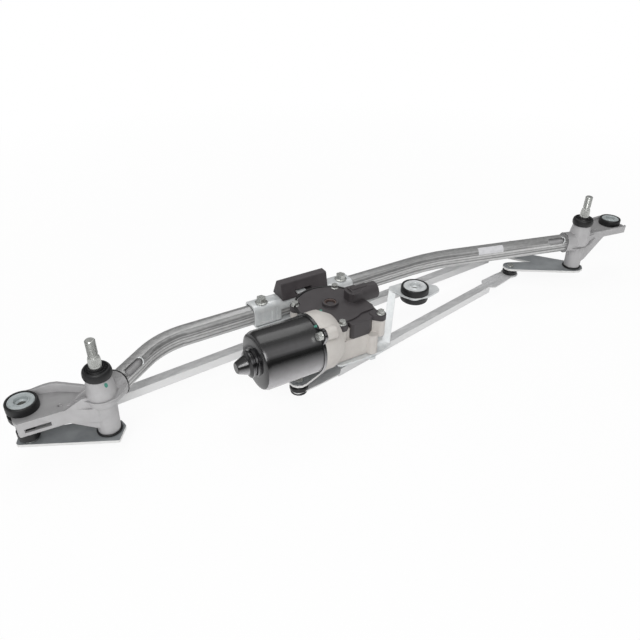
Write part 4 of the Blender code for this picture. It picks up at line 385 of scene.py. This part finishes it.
def base_source(paint):
    """The socket that feeds a material's base colour."""
    return paint.node_tree.nodes["Principled BSDF"].inputs["Base Color"].links[0].from_socket


def facing_light_tone(paint, colour, amount=1.0, mask="Side"):
    """Gives the faces of a material that a slope mask picks their own tone, which paints light and shade on
    them by the way they face.
    """
    tree = paint.node_tree
    slope = place_group(tree, SLOPE)
    scaled = tree.nodes.new("ShaderNodeMath")
    scaled.operation = "MULTIPLY"
    scaled.inputs[1].default_value = amount
    mixed = tree.nodes.new("ShaderNodeMix")
    mixed.data_type = "RGBA"
    mixed.inputs["B"].default_value = (*colour, 1)
    tree.links.new(slope.outputs[mask], scaled.inputs[0])
    tree.links.new(scaled.outputs[0], mixed.inputs["Factor"])
    tree.links.new(base_source(paint), mixed.inputs["A"])
    tree.links.new(mixed.outputs["Result"], tree.nodes["Principled BSDF"].inputs["Base Color"])


def slope_light_ladder(paint, tones):
    """Multiplies a material's colour by a ladder of tones over the slope of the surface, which paints light,
    shade and reflections by the way each face looks.
    """
    tree = paint.node_tree
    slope = place_group(tree, SLOPE)
    spot = tree.nodes.new("ShaderNodeMapRange")
    spot.inputs["From Min"].default_value = -1.0
    ladder = tree.nodes.new("ShaderNodeValToRGB")
    steps = ladder.color_ramp
    for index, (up, tone) in enumerate(tones):
        step = steps.elements[index] if index < 2 else steps.elements.new((up + 1) / 2)
        step.position = (up + 1) / 2
        step.color = (tone, tone, tone, 1)
    product = tree.nodes.new("ShaderNodeMix")
    product.data_type = "RGBA"
    product.blend_type = "MULTIPLY"
    product.inputs["Factor"].default_value = 1.0
    tree.links.new(slope.outputs["Up"], spot.inputs["Value"])
    tree.links.new(spot.outputs[0], ladder.inputs[0])
    tree.links.new(base_source(paint), product.inputs["A"])
    tree.links.new(ladder.outputs[0], product.inputs["B"])
    tree.links.new(product.outputs["Result"], tree.nodes["Principled BSDF"].inputs["Base Color"])


def dress(paint, *names):
    """Gives CAD nodes their finished material and smooth shading."""
    for name in names:
        nodes[name].data.materials.clear()
        nodes[name].data.materials.append(paint)
        soft = nodes[name].modifiers.new("soft_shading", "NODES")
        soft.node_group = SOFT_SHADING
        even = nodes[name].modifiers.new("even_normals", "WEIGHTED_NORMAL")
        even.keep_sharp = True


GALVANISED = finish(
    "galvanised_tube", (0.52, 0.52, 0.52), (0.72, 0.72, 0.715), (0.85, 0.85, 0.85), 0.6, (0.3, 0.48),
    (300, 0.3, 0.7), (1500, 0.00002), (0.0006, 0.0005, 2), (0.5, 1, 1),
)
# Painted reflections and painted shade: light and dark bands by the slope of each face, running along the tube.
slope_light_ladder(GALVANISED, [
    (-1.0, 0.5), (-0.5, 0.85), (-0.2, 1.0), (-0.05, 0.36), (0.1, 0.42), (0.2, 0.98),
    (0.28, 0.6), (0.42, 0.5), (0.52, 0.52), (0.58, 0.92), (0.64, 0.55), (0.78, 0.6),
    (0.84, 0.92), (0.89, 0.48), (0.97, 0.6), (1.0, 0.56),
])
dress(GALVANISED, "frame_tube")


# The pivots: each is one zinc die casting with a barrel, a socket for the tube and a
# ribbed arm to the body bolt. Left as cast, so matte, with faint flow marks.
CASTING = finish(
    "die_cast_zinc", (0.44, 0.435, 0.44), (0.55, 0.545, 0.55), (0.78, 0.775, 0.78), 0.25, (0.5, 0.7),
    (70, 0.3, 0.7), (1400, 0.00004), (0.001, 0.0008, 3),
)
# Painted shade by slope: faces that look up are painted darker than the sides.
slope_light_ladder(CASTING, [(-1.0, 0.9), (0.0, 1.0), (0.55, 0.95), (0.85, 0.66), (1.0, 0.6)])
dress(CASTING, "left_pivot_housing", "right_pivot_housing")

# The shafts, ball studs, screws and bolts: turned steel, bright zinc plated.
BRIGHT = finish(
    "bright_plated_steel", (0.4, 0.41, 0.39), (0.58, 0.59, 0.57), (0.88, 0.88, 0.87), 0.8, (0.22, 0.34),
    (1100, 0.3, 0.7), (2500, 0.00001), (0.0004, 0.0003, 2.5),
)
dress(BRIGHT, "left_stud", "link_stud", "drive_stud",
      "crank_stud", "output_shaft", "armature_shaft", "clamp_bolt_1", "clamp_bolt_2",
      "cover_screw_1", "cover_screw_2", "cover_screw_3", "cover_screw_4",
      "can_screw_1", "can_screw_2")

# The strap, the bracket and its bolts, the crank's nut, the stop block's tongue and the
# centre sleeve: zinc-plated steel with a soft bluish shine.
ZINC = finish(
    "zinc_plated_sheet", (0.58, 0.605, 0.615), (0.72, 0.735, 0.735), (0.88, 0.88, 0.88), 0.3, (0.28, 0.45),
    (120, 0.3, 0.7), (1600, 0.000015), (0.0006, 0.0006, 2),
)
dress(ZINC, "block_tongue", "crank_nut",
      "motor_bracket", "tube_clamp", "bracket_bolt_1", "bracket_bolt_2", "bracket_bolt_3")

# The levers and the crank: stamped steel, blue-grey, with bright sheared edges. Their upright faces are all
# painted light: partly those bare edges, partly a painted highlight where light falls on them.
LEVER = finish(
    "stamped_lever_steel", (0.24, 0.255, 0.265), (0.33, 0.345, 0.355), (0.78, 0.79, 0.79), 0.3, (0.38, 0.52),
    (60, 0.3, 0.7), (1300, 0.00002), (0.0005, 0.0007, 4),
)
# Painted highlight: upright faces lighter than the tops.
facing_light_tone(LEVER, (0.78, 0.78, 0.77))
dress(LEVER, "left_lever", "right_lever", "crank_arm")

# The rods: steel strip pressed to a flat-topped channel, with flattened ends.
ROD = finish(
    "pressed_rod_steel", (0.56, 0.565, 0.57), (0.7, 0.7, 0.705), (0.88, 0.88, 0.88), 0.35, (0.3, 0.45),
    (260, 0.35, 0.65), (1500, 0.000015), (0.0008, 0.0006, 2), (0.3, 1, 1),
)
# Painted light: the channel's upright flanks are painted lighter than its flat top.
facing_light_tone(ROD, (0.8, 0.8, 0.8), 0.85)
dress(ROD, "link_rod", "drive_rod")

# The motor can: deep-drawn steel cup, sprayed with black gloss enamel.
ENAMEL = finish(
    "black_enamel", (0.46, 0.45, 0.46), (0.54, 0.53, 0.55), (0.6, 0.6, 0.62), 0.0, (0.16, 0.24),
    (90, 0.3, 0.7), (700, 0.00001), (0.0008, 0.0005, 1.5),
)
# Painted reflections: a ladder over the slope darkens the grey base almost to black, leaving a painted lamp
# highlight on the upper side and a painted floor reflection that brightens towards the underside.
slope_light_ladder(ENAMEL, [
    (-1.0, 1.0), (-0.5, 0.85), (-0.3, 0.78), (-0.13, 0.55), (0.02, 0.38), (0.16, 0.2),
    (0.3, 0.04), (0.42, 0.006), (0.52, 0.02), (0.62, 0.16), (0.72, 0.15), (0.85, 0.03),
    (0.97, 0.012), (1.0, 0.04),
])
# Painted shade: faces that look along X, the can's ends and nose, are painted near black.
facing_light_tone(ENAMEL, (0.012, 0.012, 0.013), 1.0, "Ahead")
ENAMEL.node_tree.nodes["Principled BSDF"].inputs["Specular IOR Level"].default_value = 0.6
dress(ENAMEL, "motor_can")

# The gear housing: sand-coloured grey aluminium die casting.
HOUSING = finish(
    "gear_housing_casting", (0.56, 0.53, 0.5), (0.66, 0.635, 0.605), (0.84, 0.82, 0.8), 0.2, (0.5, 0.68),
    (60, 0.3, 0.7), (1400, 0.00003), (0.0008, 0.0008, 2),
)
dress(HOUSING, "gear_housing")

# The gear cover with its connector: moulded dark grey plastic, matte.
PLASTIC = finish(
    "dark_moulding", (0.038, 0.033, 0.035), (0.058, 0.052, 0.055), (0.17, 0.16, 0.16), 0.0, (0.42, 0.58),
    (80, 0.3, 0.7), (2200, 0.000025), (0.0006, 0.0004, 1),
)
dress(PLASTIC, "gear_cover", "brush_plate")

# Rubber: mounts, seals and ball-joint sockets in black, the stop block in grey-brown.
RUBBER = finish(
    "black_rubber", (0.004, 0.004, 0.0045), (0.01, 0.01, 0.011), (0.035, 0.035, 0.036), 0.0, (0.42, 0.6),
    (180, 0.3, 0.7), (1800, 0.00003), (0.0006, 0.0005, 1.5),
)
dress(RUBBER, "link_socket", "crank_socket", "left_socket_ring", "drive_socket_ring",
      "link_rod_cap", "drive_rod_cap")
BLOCK = finish(
    "grey_brown_rubber", (0.048, 0.042, 0.045), (0.066, 0.058, 0.061), (0.13, 0.12, 0.12), 0.0, (0.55, 0.7),
    (60, 0.3, 0.7), (1500, 0.00003), (0.0009, 0.0006, 1.5),
)
dress(BLOCK, "rubber_block")

# Inside the motor and the pivots.
BRONZE = finish(
    "oiled_bronze", (0.32, 0.19, 0.08), (0.48, 0.3, 0.14), (0.7, 0.5, 0.28), 0.9, (0.35, 0.55),
    (300, 0.3, 0.7), (2000, 0.00002), (0.0003, 0.0003, 2),
)
dress(BRONZE, "left_pivot_bush", "right_pivot_bush", "rear_bearing", "front_bearing")
NYLON = finish(
    "cream_nylon", (0.66, 0.61, 0.48), (0.76, 0.71, 0.58), (0.85, 0.82, 0.72), 0.0, (0.4, 0.55),
    (120, 0.3, 0.7), (1500, 0.00001), (0.0003, 0.0003, 1),
)
dress(NYLON, "worm_wheel")
FERRITE = finish(
    "dark_ferrite", (0.03, 0.03, 0.032), (0.055, 0.055, 0.058), (0.12, 0.12, 0.12), 0.0, (0.55, 0.7),
    (200, 0.3, 0.7), (1500, 0.00002), (0.0004, 0.0004, 2),
)
dress(FERRITE, "magnet_1", "magnet_2")
COPPER = finish(
    "turned_copper", (0.5, 0.22, 0.12), (0.75, 0.38, 0.22), (0.9, 0.6, 0.45), 1.0, (0.2, 0.4),
    (400, 0.3, 0.7), (2000, 0.00001), (0.0002, 0.0002, 2),
)
dress(COPPER, "commutator")
IRON = finish(
    "lacquered_iron", (0.12, 0.05, 0.03), (0.3, 0.13, 0.07), (0.5, 0.3, 0.2), 0.6, (0.3, 0.5),
    (300, 0.3, 0.7), (1500, 0.00003), (0.0003, 0.0003, 2),
)
dress(IRON, "armature_core")


# The wiper shafts: turned steel with a rolled M10 thread, an undercut and a knurled cone
# for the wiper arm; below it runs smooth through the pivot to its lever.
MIDDLE = Vector((3.37, 6.96, -22.6))
PIVOTS = {"left": Vector((-339.5, 0, 0)), "right": Vector((339.5, 0, 0))}


def put(x, y, z):
    """Millimetres from the middle between the pivots, in the part's own frame and metres."""
    return (Vector((x, y, z)) - MIDDLE) / 1000


def finished(name, work, paints, body, corner=CORNER):
    """Turns mesh work into a piece that rides on a body, smooth but for its corners."""
    bmesh.ops.remove_doubles(work, verts=work.verts, dist=MERGE_DISTANCE)
    bmesh.ops.recalc_face_normals(work, faces=work.faces)
    mesh = bpy.data.meshes.new(name)
    work.to_mesh(mesh)
    work.free()
    for paint in paints:
        mesh.materials.append(paint)
    mesh.shade_smooth()
    mesh.set_sharp_from_angle(angle=math.radians(corner))
    piece = bpy.data.objects.new(name, mesh)
    scene.collection.objects.link(piece)
    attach(piece, body)
    return piece


def rings_to_faces(work, rings, closed=True):
    """Joins rings of vertices with faces; closed rings go all the way round."""
    count = len(rings[0])
    for low, high in zip(rings, rings[1:]):
        for i in range(count if closed else count - 1):
            j = (i + 1) % count
            corners = [low[i], low[j], high[j], high[i]]
            if len(set(corners)) > 2:
                work.faces.new(dict.fromkeys(corners))


def lathe(work, centre, profile, steps, wave=None):
    """Turns (radius, height) pairs round a vertical axis; wave(turn, height) adds to the radius."""
    rings = []
    for radius, height in profile:
        ring = []
        for i in range(steps):
            turn = 2 * math.pi * i / steps
            wide = max(0.0, radius + (wave(turn, height) if wave and radius > 0 else 0.0))
            across = centre[0] + wide * math.cos(turn)
            ahead = centre[1] + wide * math.sin(turn)
            ring.append(work.verts.new(put(across, ahead, centre[2] + height)))
        rings.append(ring)
    rings_to_faces(work, rings)


THREAD_LOW = 91.2
THREAD_HIGH = 106.0
THREAD_PITCH = 1.5
THREAD_DEPTH = 0.55
THREAD_PROUD = 0.1
KNURL_LOW = 80.5
KNURL_HIGH = 87.8
KNURL_DEPTH = 0.34
KNURL_TEETH = 24


def shaft_wave(turn, height):
    """The thread's ridge and the knurl's teeth."""
    if THREAD_LOW < height < THREAD_HIGH:
        along = (height / THREAD_PITCH + turn / (2 * math.pi)) % 1.0
        return -THREAD_DEPTH * abs(along - 0.5) * 2 + THREAD_PROUD
    if KNURL_LOW < height < KNURL_HIGH:
        return KNURL_DEPTH * math.cos(turn * KNURL_TEETH)
    return 0.0


SHAFT_PROFILE = [(0, 107), (3.9, 107), (4.7, 106.3)]
SHAFT_PROFILE += [(4.9, 106.0 - 0.375 * i) for i in range(40)]
SHAFT_PROFILE += [(4.5, 91.0), (4.3, 90.6), (4.3, 89.0), (5.2, 88.4), (5.3, 87.9)]
SHAFT_PROFILE += [(5.3 + 0.65 * i / 8, 87.8 - 0.92 * i) for i in range(9)]
SHAFT_PROFILE += [(5.75, 80.3), (6, 79.4), (6, -0.3), (10.4, -0.3), (10.4, -1.3)]
SHAFT_PROFILE += [(6, -1.3), (6, -4.9), (7.8, -4.9), (7.2, -6.5), (0, -6.5)]
for side, pivot in PIVOTS.items():
    work = bmesh.new()
    lathe(work, pivot, SHAFT_PROFILE, 120, shaft_wave)
    piece = finished(side + "_threaded_shaft", work, [BRIGHT], side + "_pivot", 40)
    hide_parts(side + "_wiper_shaft")


# The rubber seals that cap the barrels: a rounded ring with a dished top and a lip that
# hugs the shaft.
for side, pivot in PIVOTS.items():
    work = bmesh.new()
    lathe(work, pivot, [
        (6.6, 65.6), (11, 65.4), (12.8, 65.8), (13.5, 67), (13.9, 69.2), (13.8, 71.6),
        (13.2, 73.8), (12.2, 75.2), (11.4, 75.5), (10.7, 75.1), (10.2, 74), (9.7, 73.6),
        (9.2, 73.9), (9.0, 75.3), (8.6, 75.8), (8.1, 75.5), (7.9, 74.9), (7.5, 75.0),
        (7.3, 77.2), (6.9, 77.8), (6.5, 77.5), (6.4, 76), (6.6, 65.6),
    ], 64)
    seal = finished(side + "_lipped_seal", work, [RUBBER], "frame", 60)
    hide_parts(side + "_seal_cap")


# The three body mounts: a rubber grommet with a raised lip, gripping the casting in its
# groove, and a flanged grey steel sleeve in it with a countersunk hole.
INSERT = finish(
    "grey_phosphated_steel", (0.34, 0.375, 0.38), (0.44, 0.475, 0.48), (0.7, 0.72, 0.72), 0.15, (0.4, 0.6),
    (160, 0.3, 0.7), (1400, 0.00002), (0.0004, 0.0004, 2),
)
# place, underside of the sheet it sits in, thickness of that sheet, radius, drop of the top
MOUNTS = {
    "left": ((-407.47, 31.7, 0), 29.0, 4.0, 15.5, 1.9),
    "right": ((414.21, 6.54, 0), 43.0, 4.0, 14.8, 1.9),
    "centre": ((33.0, -7.5, 0), 47.5, 2.5, 16.8, 2.5),
}
SHEET_GAP = 0.3
LIP_HEIGHT = 10.1
BORE_HIGHLIGHT_RADIUS = 0.00455
for side, (place, low, sheet_thickness, wide, drop) in MOUNTS.items():
    over = low + sheet_thickness + SHEET_GAP
    under = low - SHEET_GAP
    top = over + LIP_HEIGHT - drop
    work = bmesh.new()
    lathe(work, place, [
        (7.8, top - 3), (wide - 2.6, top - 3), (wide - 2.6, top + 0.1), (wide - 2.2, top + 0.5),
        (wide - 1.4, top + 0.6), (wide - 0.6, top + 0.2), (wide - 0.1, top - 0.8),
        (wide, over + 3.4), (wide, over), (11.5, over), (11.5, under), (wide, under),
        (wide, under - 5), (wide - 0.5, under - 6.6), (wide - 1.6, under - 7.5),
        (7.8, under - 7.5), (7.8, top - 3),
    ], 56)
    rubber = finished(side + "_lipped_grommet", work, [RUBBER], "frame", 50)
    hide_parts(side + "_grommet")
    work = bmesh.new()
    lathe(work, place, [
        (7.5, top - 2.6), (wide - 2.9, top - 2.6), (wide - 2.9, top - 0.4), (wide - 3.3, top),
        (wide - 3.9, top), (wide - 4.3, top - 0.4), (8.3, top - 0.4), (7.9, top + 0.4),
        (7.0, top + 0.6), (6.6, top + 0.2), (6.3, top - 3), (4.6, top - 4.6),
        (4.5, low - 8.5), (7.5, low - 8.5), (7.5, top - 2.6),
    ], 56)
    sleeve_paint = ZINC if side == "centre" else INSERT
    steel = finished(side + "_countersunk_sleeve", work, [sleeve_paint, BRIGHT], "frame", 40)
    # The faces inside the bore take the bright plated steel, which paints the bright highlight seen down the
    # hole.
    for face in steel.data.polygons:
        spot = face.center - put(*place)
        if math.hypot(spot.x, spot.y) < BORE_HIGHLIGHT_RADIUS:
            face.material_index = 1
    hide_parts(side + "_mount_sleeve")


# The paper label on the tube, blank, and three spots of green inspection paint: thin skins
# laid on the surface below them.
SKIN_LIFT = 0.00012
SKIN_SUNK = -0.00008
RAY_START = 0.02
RAY_REACH = 0.06


def surface_trees(labels):
    """The surfaces of the named nodes, ready for casting rays in the part's own frame."""
    bpy.context.view_layer.update()
    trees = []
    for label in labels:
        mesh, place = nodes[label].data, nodes[label].matrix_world
        corners = [place @ vertex.co for vertex in mesh.vertices]
        trees.append(BVHTree.FromPolygons(corners, [tuple(face.vertices) for face in mesh.polygons]))
    return trees


def skin(name, centre, outward, along, size, under, paint, spot=False):
    """A thin skin of a size in millimetres, cast along a direction on to the named nodes."""
    trees = surface_trees(under)
    outward = Vector(outward).normalized()
    across = outward.cross(Vector(along)).normalized()
    along = across.cross(outward)
    count = 24
    work = bmesh.new()
    layers = []
    for depth in (SKIN_SUNK, SKIN_LIFT):
        rows = []
        for j in range(count + 1):
            row = []
            for i in range(count + 1):
                a, b = 2 * i / count - 1, 2 * j / count - 1
                if spot:
                    a, b = a * math.sqrt(1 - b * b / 2), b * math.sqrt(1 - a * a / 2)
                offset = (along * a * size[0] + across * b * size[1]) / 2000
                start = put(*centre) + offset + outward * RAY_START
                hits = [tree.ray_cast(start, -outward, RAY_REACH) for tree in trees]
                hits = [hit for hit in hits if hit[0] is not None]
                nearest = min(hits, key=lambda hit: hit[3])
                row.append(work.verts.new(nearest[0] + outward * depth))
            rows.append(row)
        rings_to_faces(work, rows, False)
        first = [row[0] for row in rows] + rows[-1][1:]
        layers.append(first + [row[-1] for row in rows[-2::-1]] + rows[0][-2:0:-1])
    rings_to_faces(work, layers)
    return finished(name, work, [paint], "frame", 60)


PAPER = finish(
    "label_paper", (0.62, 0.62, 0.64), (0.74, 0.74, 0.76), (0.8, 0.8, 0.8), 0.0, (0.5, 0.65),
    (250, 0.3, 0.7), (1800, 0.00001), (0.0002, 0.0002, 0.5),
)
PAINT_SPOT = finish(
    "green_inspection_paint", (0.03, 0.2, 0.15), (0.1, 0.34, 0.27), (0.2, 0.42, 0.35), 0.0, (0.3, 0.5),
    (900, 0.35, 0.65), (2000, 0.00004), (0.0002, 0.0002, 1),
)
skin("tube_label", (195.9, 29.7, 48.6), (-0.15, -0.6, 0.785), (0.968, -0.25, 0), (38, 9.5),
     ["frame_tube"], PAPER)
skin("paint_spot_can", (-128.7, -44.4, 76), (-0.433, -0.706, 0.56), (1, 0, 0), (3.4, 2.8),
     ["motor_can", "gear_housing"], PAINT_SPOT, True)
skin("paint_spot_cover", (-102.5, -11.5, 68.2), (-0.446, -0.714, 0.539), (1, 0, 0), (3.6, 2.6),
     ["gear_cover"], PAINT_SPOT, True)
skin("paint_spot_pivot", (-335.2, -7.6, 58), (-0.111, -0.787, 0.607), (1, 0, 0), (3.2, 4.6),
     ["left_pivot_housing"], PAINT_SPOT, True)


# The cast bead round the front of the right barrel, from the tube's socket to the arm.
def bead(name, points, radius, paint, body, closed=False, squash=1.0):
    """A round bead along points in millimetres, its section flattened by squash."""
    path = [put(*point) for point in points]
    work = bmesh.new()
    rings = []
    for index, here in enumerate(path):
        before = path[index - 1] if closed or index else here
        after = path[(index + 1) % len(path)] if closed or index + 1 < len(path) else here
        ahead = (after - before).normalized()
        sideways = ahead.cross(Vector((0, 0, 1)))
        sideways = sideways.normalized() if sideways.length > 0.01 else Vector((1, 0, 0))
        upward = sideways.cross(ahead)
        ring = []
        for i in range(10):
            turn = 2 * math.pi * i / 10
            offset = sideways * math.cos(turn) + upward * squash * math.sin(turn)
            ring.append(work.verts.new(here + offset * radius / 1000))
        rings.append(ring)
    if closed:
        rings.append(rings[0])
    rings_to_faces(work, rings)
    if not closed:
        work.faces.new(rings[0])
        work.faces.new(rings[-1])
    return finished(name, work, [paint], body, 60)


bead("right_ledge", [
    (319, 0, 32), (321, -5, 32.3), (327.2, -10.6, 32.7), (338.1, -14.2, 34.7), (346, -14.2, 37),
    (354, -12, 40), (362, -10, 42),
], 1.6, CASTING, "frame", squash=0.8)

# The shelf round the left barrel: it runs from the arm's front wall past the barrel to the
# end of the tube's socket.
SHELF_RADIUS = 16.2
SHELF_INNER = 0.72
barrel = PIVOTS["left"].x
work = bmesh.new()
outer = [(-364, 2), (-358, -3)]
for degrees in range(218, 292, 8):
    turn = math.radians(degrees)
    outer.append((barrel + SHELF_RADIUS * math.cos(turn), SHELF_RADIUS * math.sin(turn)))
outer += [(-330, -14.6), (-325, -11.6), (-320.5, -7), (-316.5, -1.6), (-313.6, 3)]
inner = [(barrel + (x - barrel) * SHELF_INNER, y * SHELF_INNER) for x, y in outer]
rings = []
for path, low in ((outer, 43.4), (outer, 44.9), (inner, 45.6), (inner, 42.6), (outer, 43.4)):
    rings.append([work.verts.new(put(x, y, low)) for x, y in path])
rings_to_faces(work, rings, False)
work.faces.new([ring[0] for ring in rings[:4]])
work.faces.new([ring[-1] for ring in rings[:4]])
finished("left_shelf", work, [CASTING], "frame", 60)

# The raised rim along the back edge of the left arm, highest behind its middle.
work = bmesh.new()
rim = [
    (-412, 52, 35.6), (-402, 53.1, 36.3), (-396, 51, 37.5), (-390, 48.9, 39.8),
    (-384, 46.8, 41.8), (-378, 44.7, 43), (-372, 42.5, 43), (-366, 38.9, 42.2),
    (-360, 34.8, 41.5), (-354, 30.8, 41), (-348, 26.7, 40.2), (-342, 21.7, 39.5),
]
RIM_FOOT = 30.4
rings = []
for index, (x, y, high) in enumerate(rim):
    before, after = rim[max(index - 1, 0)], rim[min(index + 1, len(rim) - 1)]
    along = Vector((after[0] - before[0], after[1] - before[1])).normalized()
    inward = Vector((along.y, -along.x))
    ring = []
    section = [(-0.2, RIM_FOOT), (-0.2, high - 0.6), (0.4, high), (3.2, high), (3.9, high - 0.7)]
    for depth, level in section + [(4.1, RIM_FOOT)]:
        ring.append(work.verts.new(put(x + inward.x * depth, y + inward.y * depth, level)))
    rings.append(ring)
rings_to_faces(work, rings)
work.faces.new(rings[0])
work.faces.new(rings[-1])
finished("left_arm_rim", work, [CASTING], "frame", 50)

# A black ring where the tube leaves each socket, a painted shadow in the gap there, and the rubber ring at each
# barrel's foot.
TUBE_ANGLES = {"left": 37.0, "right": 165.5}
TUBE_HEIGHT = 40
SOCKET_END = 24.9
GAP_SHADOW_RADII = {"left": 0.7, "right": 0.35}
FOOT_PROFILE = [
    (10.8, -0.2), (10.8, -1.1), (12.2, -1.2), (12.7, -0.7), (12.5, 0.6), (11.6, 1.2), (10.8, -0.2),
]
for side, angle in TUBE_ANGLES.items():
    way = Vector((math.cos(math.radians(angle)), math.sin(math.radians(angle)), 0))
    across = Vector((-way.y, way.x, 0))
    loop = []
    for i in range(48):
        turn = 2 * math.pi * i / 48
        wide = 11.5 * abs(math.cos(turn)) ** 0.75 * math.copysign(1, math.cos(turn))
        rise = Vector((0, 0, TUBE_HEIGHT + 13.8 * math.sin(turn)))
        loop.append(PIVOTS[side] + way * SOCKET_END + across * wide + rise)
    bead(side + "_tube_gap_shadow", loop, GAP_SHADOW_RADII[side], RUBBER, "frame", True)
    work = bmesh.new()
    lathe(work, PIVOTS[side], FOOT_PROFILE, 40)
    finished(side + "_foot_ring", work, [RUBBER], "frame")

# The pressed edge round the long dimple that holds the tube on each plug.
DIMPLE_FRONTS = {"left": (0.6, -0.8), "right": (-0.25, -0.968)}
DIMPLE_PLACE = 42.6
DIMPLE_SHIFT = 9
DIMPLE_RADIUS = 4.7
tube_tree = surface_trees(["frame_tube"])[0]
for side, angle in TUBE_ANGLES.items():
    way = Vector((math.cos(math.radians(angle)), math.sin(math.radians(angle)), 0))
    outward = (Vector((*DIMPLE_FRONTS[side], 0)) * 0.64 + Vector((0, 0, 0.77))).normalized()
    across = outward.cross(way)
    loop = []
    for i in range(44):
        turn = 2 * math.pi * i / 44
        shift = math.copysign(DIMPLE_SHIFT, math.cos(turn)) if abs(math.cos(turn)) > 0.02 else 0
        ahead = shift + DIMPLE_RADIUS * math.cos(turn)
        aside = DIMPLE_RADIUS * math.sin(turn)
        start = PIVOTS[side] + way * (DIMPLE_PLACE + ahead) + across * aside
        start = start + Vector((0, 0, TUBE_HEIGHT)) + outward * 25
        hit = tube_tree.ray_cast(put(*start), -outward, 0.05)
        if hit[0] is not None:
            spot = hit[0] * 1000 + MIDDLE
            loop.append(spot - outward * 0.25)
    bead(side + "_dimple_edge", loop, 0.55, GALVANISED, "frame", True)
    # Painted highlight: a brighter zinc arc along one end of each dimple edge.
    highlight_arc = loop[-8:] + loop[:9] if side == "left" else loop[14:31]
    bead(side + "_dimple_glint", highlight_arc, 0.7, ZINC, "frame")

# The wide flattened end of the drive rod under its ball joint, with two pressed ribs.
JOINT = Vector((261.56, 45.0, 0))
ROD_WAY = Vector((-0.984, -0.178, 0))
ROD_ASIDE = Vector((0.178, -0.984, 0))
ROD_TOP = -12.9
RIB_START = 13
RIB_STEP = 8
work = bmesh.new()
rings = []
for wide, low in ((0.0, -15.2), (11.6, -15.2), (12.2, -14.8), (12.2, -13.4), (11.7, ROD_TOP), (0.0, ROD_TOP)):
    ring = []
    for i in range(40):
        turn = 2 * math.pi * i / 40
        spot = JOINT + Vector((math.cos(turn) * wide, math.sin(turn) * wide, low))
        ring.append(work.verts.new(put(*spot)))
    rings.append(ring)
rings_to_faces(work, rings)
finished("drive_rod_tip", work, [ROD], "drive_rod_body", 50)
for index, aside in enumerate((-3.6, 3.6)):
    path = []
    for i in range(9):
        ahead = ROD_WAY * (RIB_START + RIB_STEP * i)
        path.append(JOINT + ahead + ROD_ASIDE * aside * (1 if i else 0.6) + Vector((0, 0, ROD_TOP)))
    bead("drive_rod_rib_%d" % (index + 1), path, 1.0, ROD, "drive_rod_body", squash=0.7)

# The raised edge round the back of the gear cover, moulded near black: its black is a painted shadow along the
# cover's rear rim.
HUB = (-86, -5)
COVER_RADIUS = 39.2
edge = []
for degrees in range(18, 196, 6):
    turn = math.radians(degrees)
    edge.append((HUB[0] + COVER_RADIUS * math.cos(turn), HUB[1] + COVER_RADIUS * math.sin(turn), 67.6))
COVER_EDGE_SHADOW = finish(
    "cover_edge_shadow_black", (0.004, 0.0036, 0.0038), (0.008, 0.007, 0.0075), (0.02, 0.02, 0.02), 0.0, (0.35, 0.5),
    (80, 0.3, 0.7), (2200, 0.00001), (0.0006, 0.0004, 1),
)
bead("cover_edge", edge, 1.4, COVER_EDGE_SHADOW, "frame", squash=0.7)

# The gear cover's boss over the output shaft: a raised cup with a brown bush in it.
BOSS = (*HUB, 67.8)
BUSH = finish(
    "brown_bush", (0.075, 0.05, 0.045), (0.12, 0.085, 0.075), (0.2, 0.16, 0.14), 0.1, (0.4, 0.55),
    (300, 0.3, 0.7), (1500, 0.00002), (0.0003, 0.0003, 1.5),
)
work = bmesh.new()
lathe(work, BOSS, [(7, 0), (7, 2.6), (6.7, 3), (5.6, 3), (5.3, 2.7), (5.3, 0), (7, 0)], 40)
finished("boss_bush", work, [BUSH], "frame")
work = bmesh.new()
lathe(work, BOSS, [(5.2, 0), (5.2, 0.6), (0, 0.9), (0, 0), (5.2, 0)], 40)
finished("boss_floor", work, [PLASTIC], "frame")
